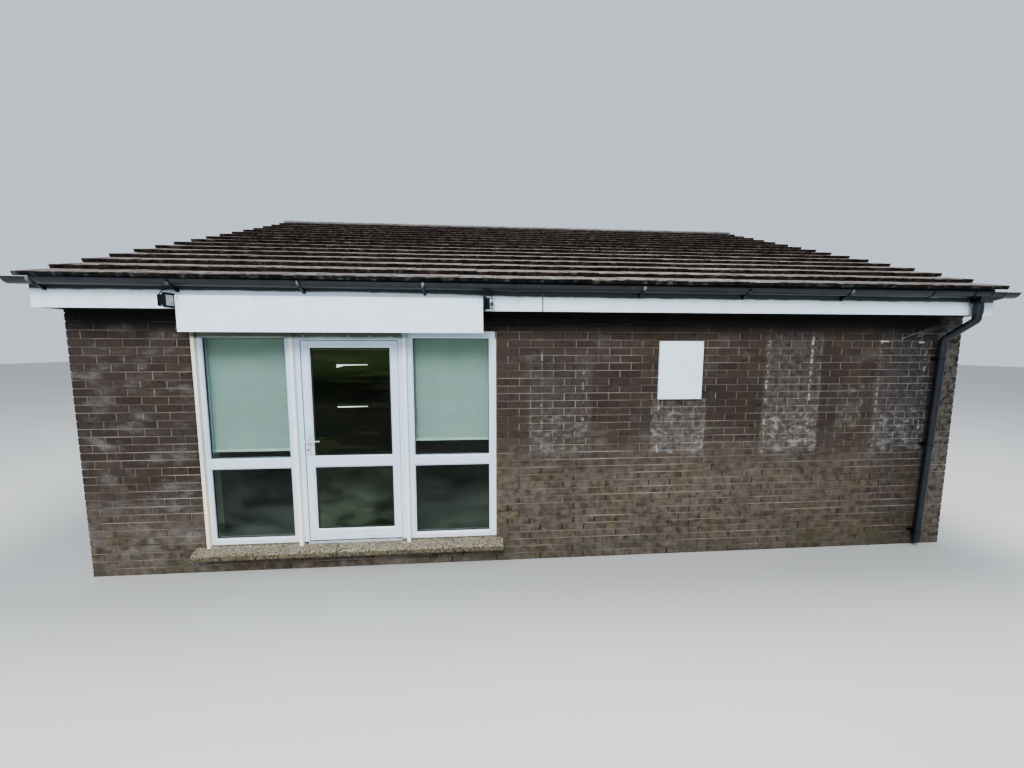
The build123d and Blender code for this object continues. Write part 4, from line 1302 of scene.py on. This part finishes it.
def disc(parts, x, y, z, radius, height):
    """Domed disc on a face that looks to the front."""
    outline = round_outline(DISC_SIDES)
    rings = []
    for lift, share in ((-DISC_SINK, 1.0), (height * 0.4, 1.0), (height, 0.6)):
        reach = radius * share
        rings.append([(x + across * reach, y - lift, z + up * reach) for across, up in outline])
    parts.rings(rings)


def keyhole(name):
    """Dark face of the lock cylinder outside."""
    low = solids("door_handles")[0][0]
    face = corners("door_leaf")[0].y - LOCK_FACE
    parts = Parts()
    disc(parts, low.x + LOCK_INSET, face, low.z + HANDLE_MIDDLE - LOCK_DROP, LOCK_RADIUS, LOCK_RISE)
    parts.make(name, [RUBBER], "handle_metal", body="door")


# Pointing beside the posts
LEFT_POINTING = 0.020
RIGHT_POINTING = 0.009
POINTING_STEPS = 60
POINTING_SEED = 41
POINTING_RISE = (0.003, 0.007)
POINTING_REACH = (0.75, 0.95)
POINTING_FALL = 0.002


def pointing(name):
    """Uneven mortar pointed between the side posts and the bricks."""
    parts = Parts()
    chance = random.Random(POINTING_SEED)
    height = corners("side_posts")[1].z - FRAME_BOTTOM
    for wall, width in ((OPENING_LEFT, LEFT_POINTING), (OPENING_RIGHT, -RIGHT_POINTING)):
        rings = []
        for number in range(POINTING_STEPS + 1):
            z = FRAME_BOTTOM + height * number / POINTING_STEPS
            near = FRAME_FRONT - chance.uniform(*POINTING_RISE)
            edge = wall + width * chance.uniform(*POINTING_REACH)
            ring = [(wall, near), (edge, near + POINTING_FALL)]
            ring += [(wall + width, FRAME_FRONT), (wall, FRAME_FRONT)]
            if width < 0:
                ring.reverse()
            rings.append([(x, y, z) for x, y in ring])
        parts.rings(rings)
    parts.make(name, [POINTING], "brick")


# Plaque, screws and tape
PLAQUE_WIDTH = 0.454
PLAQUE_HEIGHT = 0.584
PLAQUE_EDGE = 0.003
PLAQUE_INSET = 0.018
SIGN_SCREW_COLUMNS = ((-3.274, -3.276), (-2.655, -2.660), (-0.720, -0.726))
SIGN_SCREW_HEIGHTS = ((2.590, 2.325), (2.590, 2.322), (2.590, 2.322))
HEAD_SCREWS = (-2.362, -2.173, -1.955, -1.758, -1.559)
HEAD_SCREW_HEIGHT = 2.276
SCREW_RISE = 0.003
SCREW_RADIUS = 0.006
HEAD_SCREW_RADIUS = 0.007
DISC_SIDES = 10
DISC_SINK = 0.001
# Tapered strips of old tape: x from and to, z, height at each end
TAPES = (
    (-2.082, -1.795, 2.009, 0.038, 0.012),
    (-2.088, -1.805, 1.606, 0.014, 0.012),
)
TAPE_STEPS = 8
TAPE_LIFTS = (0.0001, 0.0006)
TAPE_TAPER = 4
TAPE_WAVE = 0.15


def plaque(name):
    """Sheet on the wall with softened edges."""
    low, high = corners("wall_plaque")
    parts = Parts()
    rings = []
    for y, inset in ((high.y, 0), (low.y + PLAQUE_EDGE, 0), (low.y, PLAQUE_EDGE)):
        left = low.x + inset
        right = low.x + PLAQUE_WIDTH - inset
        bottom = high.z - PLAQUE_HEIGHT + inset
        top = high.z - inset
        rings.append([(left, y, bottom), (right, y, bottom), (right, y, top), (left, y, top)])
    parts.rings(rings)
    parts.make(name, [SIGN], "sign_panel", "wall_plaque")


def screws(name):
    parts = Parts()
    face = corners("sign_board")[0].y
    for places, heights in zip(SIGN_SCREW_COLUMNS, SIGN_SCREW_HEIGHTS):
        for x, z in zip(places, heights):
            disc(parts, x, face, z, SCREW_RADIUS, SCREW_RISE)
    low, high = corners("wall_plaque")
    for x in (low.x + PLAQUE_INSET, low.x + PLAQUE_WIDTH - PLAQUE_INSET):
        for z in (high.z - PLAQUE_HEIGHT + PLAQUE_INSET, high.z - PLAQUE_INSET):
            disc(parts, x, low.y, z, SCREW_RADIUS, SCREW_RISE)
    for x in HEAD_SCREWS:
        disc(parts, x, corners("door_head")[0].y, HEAD_SCREW_HEIGHT, HEAD_SCREW_RADIUS, SCREW_RISE)
    parts.make(name, [STEEL], "aluminium")


def tapes(name):
    """Strips of old tape on the door's glass, with an uneven lower edge."""
    face = corners("door_glass")[0].y
    parts = Parts()
    for x0, x1, z, left_height, right_height in TAPES:
        ring = []
        for step in range(TAPE_STEPS + 1):
            share = step / TAPE_STEPS
            drop = right_height + (left_height - right_height) * max(0.0, 1 - share * TAPE_TAPER)
            wave = 1 - TAPE_WAVE + TAPE_WAVE * math.sin(5 * share)
            ring.append((x0 + (x1 - x0) * share, z - drop * wave))
        ring += [(x, z) for x, lower in ring[::-1]]
        parts.rings([[(x, face - lift, z) for x, z in ring] for lift in TAPE_LIFTS])
    parts.make(name, [TAPE], "blind_fabric", body="door")


def dress():
    """Materials of the CAD nodes that keep their shape."""
    for material, nodes in (
        (FLOORING, "floor_slab"),
        (CEILING, "ceiling"),
        (RIDGE, "ridge_tiles"),
        (CEMENT, "undercloaks"),
        (BOARD, "fascias box_ends"),
        (SOFFIT, "soffits"),
        (TRIM, "fascia_trims"),
        (BLACK, "gutters"),
        (BRACKET, "gutter_brackets"),
        (FITTING, "gutter_unions pipe_clips"),
        (PIPE, "downpipes downpipe_sockets"),
        (UPVC, "left_window_frame right_window_frame couplers door_jambs door_head door_leaf"),
        (COVER, "coupler_covers"),
        (POST, "side_posts"),
        (GLASS, "window_glass"),
        (DOOR_GLASS, "door_glass"),
        (METAL, "door_threshold blind_rollers"),
        (WHITE_METAL, "door_hinges jamb_hinges"),
        (HANDLE, "door_handles"),
        (SIGN, "sign_board"),
        (CASTING, "floodlights"),
        (RUBBER, "floodlight_leads"),
        (BAR, "blind_bars"),
    ):
        for node in nodes.split():
            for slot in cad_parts[node].material_slots:
                slot.material = material


# Studio
SKY = (0.78, 0.89, 1.0, 1)
SKY_STRENGTH = 0.76
# Lights: name, place, the point they face, size, power and colour
LIGHTS = (
    ("key", (-3, -13.5, 10.5), (0, -4, 1.0), 6, 1650, (0.94, 0.975, 1.0)),
    ("top", (2, -1, 15), (0, -1, 3.0), 7, 2300, (0.96, 0.98, 1.0)),
)
FLOOR_REACH = 60
FLOOR_DROP = 0.001


def camera():
    data = bpy.data.cameras.new("camera")
    data.sensor_width = SENSOR
    data.lens = CAMERA_LENS
    data.clip_end = FARTHEST
    made = placed("camera", data)
    turn = Matrix.Rotation(math.radians(-CAMERA_TURN), 4, "Z")
    tilt = Matrix.Rotation(math.radians(90 - CAMERA_TILT), 4, "X")
    roll = Matrix.Rotation(math.radians(CAMERA_ROLL), 4, "Z")
    made.matrix_world = Matrix.Translation(CAMERA_PLACE) @ turn @ tilt @ roll
    bpy.context.scene.camera = made


def lights():
    world = bpy.data.worlds.new("studio")
    world.use_nodes = True
    shade = world.node_tree.nodes["Background"]
    shade.inputs["Color"].default_value = SKY
    shade.inputs["Strength"].default_value = SKY_STRENGTH
    bpy.context.scene.world = world
    bpy.context.scene.view_settings.look = "AgX - Medium High Contrast"
    for name, place, target, size, power, colour in LIGHTS:
        data = bpy.data.lights.new(name, "AREA")
        data.shape = "DISK"
        data.size = size
        data.energy = power
        data.color = colour
        light = placed(name, data)
        light.location = place
        light.rotation_euler = (Vector(target) - Vector(place)).to_track_quat("-Z", "Y").to_euler()


def floor():
    square = [(-1, -1), (1, -1), (1, 1), (-1, 1)]
    mesh = bpy.data.meshes.new("floor")
    mesh.from_pydata([(x * FLOOR_REACH, y * FLOOR_REACH, -FLOOR_DROP) for x, y in square], [], [[0, 1, 2, 3]])
    mesh.materials.append(plain_look("pale_floor", (0.55, 0.54, 0.52), 0.8, 0.03, 0.3, 0.0))
    placed("floor", mesh)


left_pier()
right_wall()
wall_over_shopfront()
wall_under_shopfront()
back_wall()
gable("left_gable_bricks", "left_gable_wall", LEFT_FACE)
gable("right_gable_bricks", "right_gable_wall", RIGHT_FACE)
roof("roof_front_tiles", "roof_front", False, 11)
roof("roof_back_tiles", "roof_back", True, 12)
moss("roof_front_moss", False, 13)
moss("roof_back_moss", True, 14)
blind("left_blind_cloth", 0)
blind("right_blind_cloth", 1)
sills("worn_sills")
gaskets("window_gaskets", "window_glass", "building", WINDOW_GASKET)
gaskets("door_gaskets", "door_glass", "door", DOOR_GASKET, spacer=True)
lenses("light_lenses")
keyhole("keyhole")
pointing("post_pointing")
plaque("plaque_sheet")
screws("screws")
tapes("door_tapes")
dress()
camera()
lights()
floor()
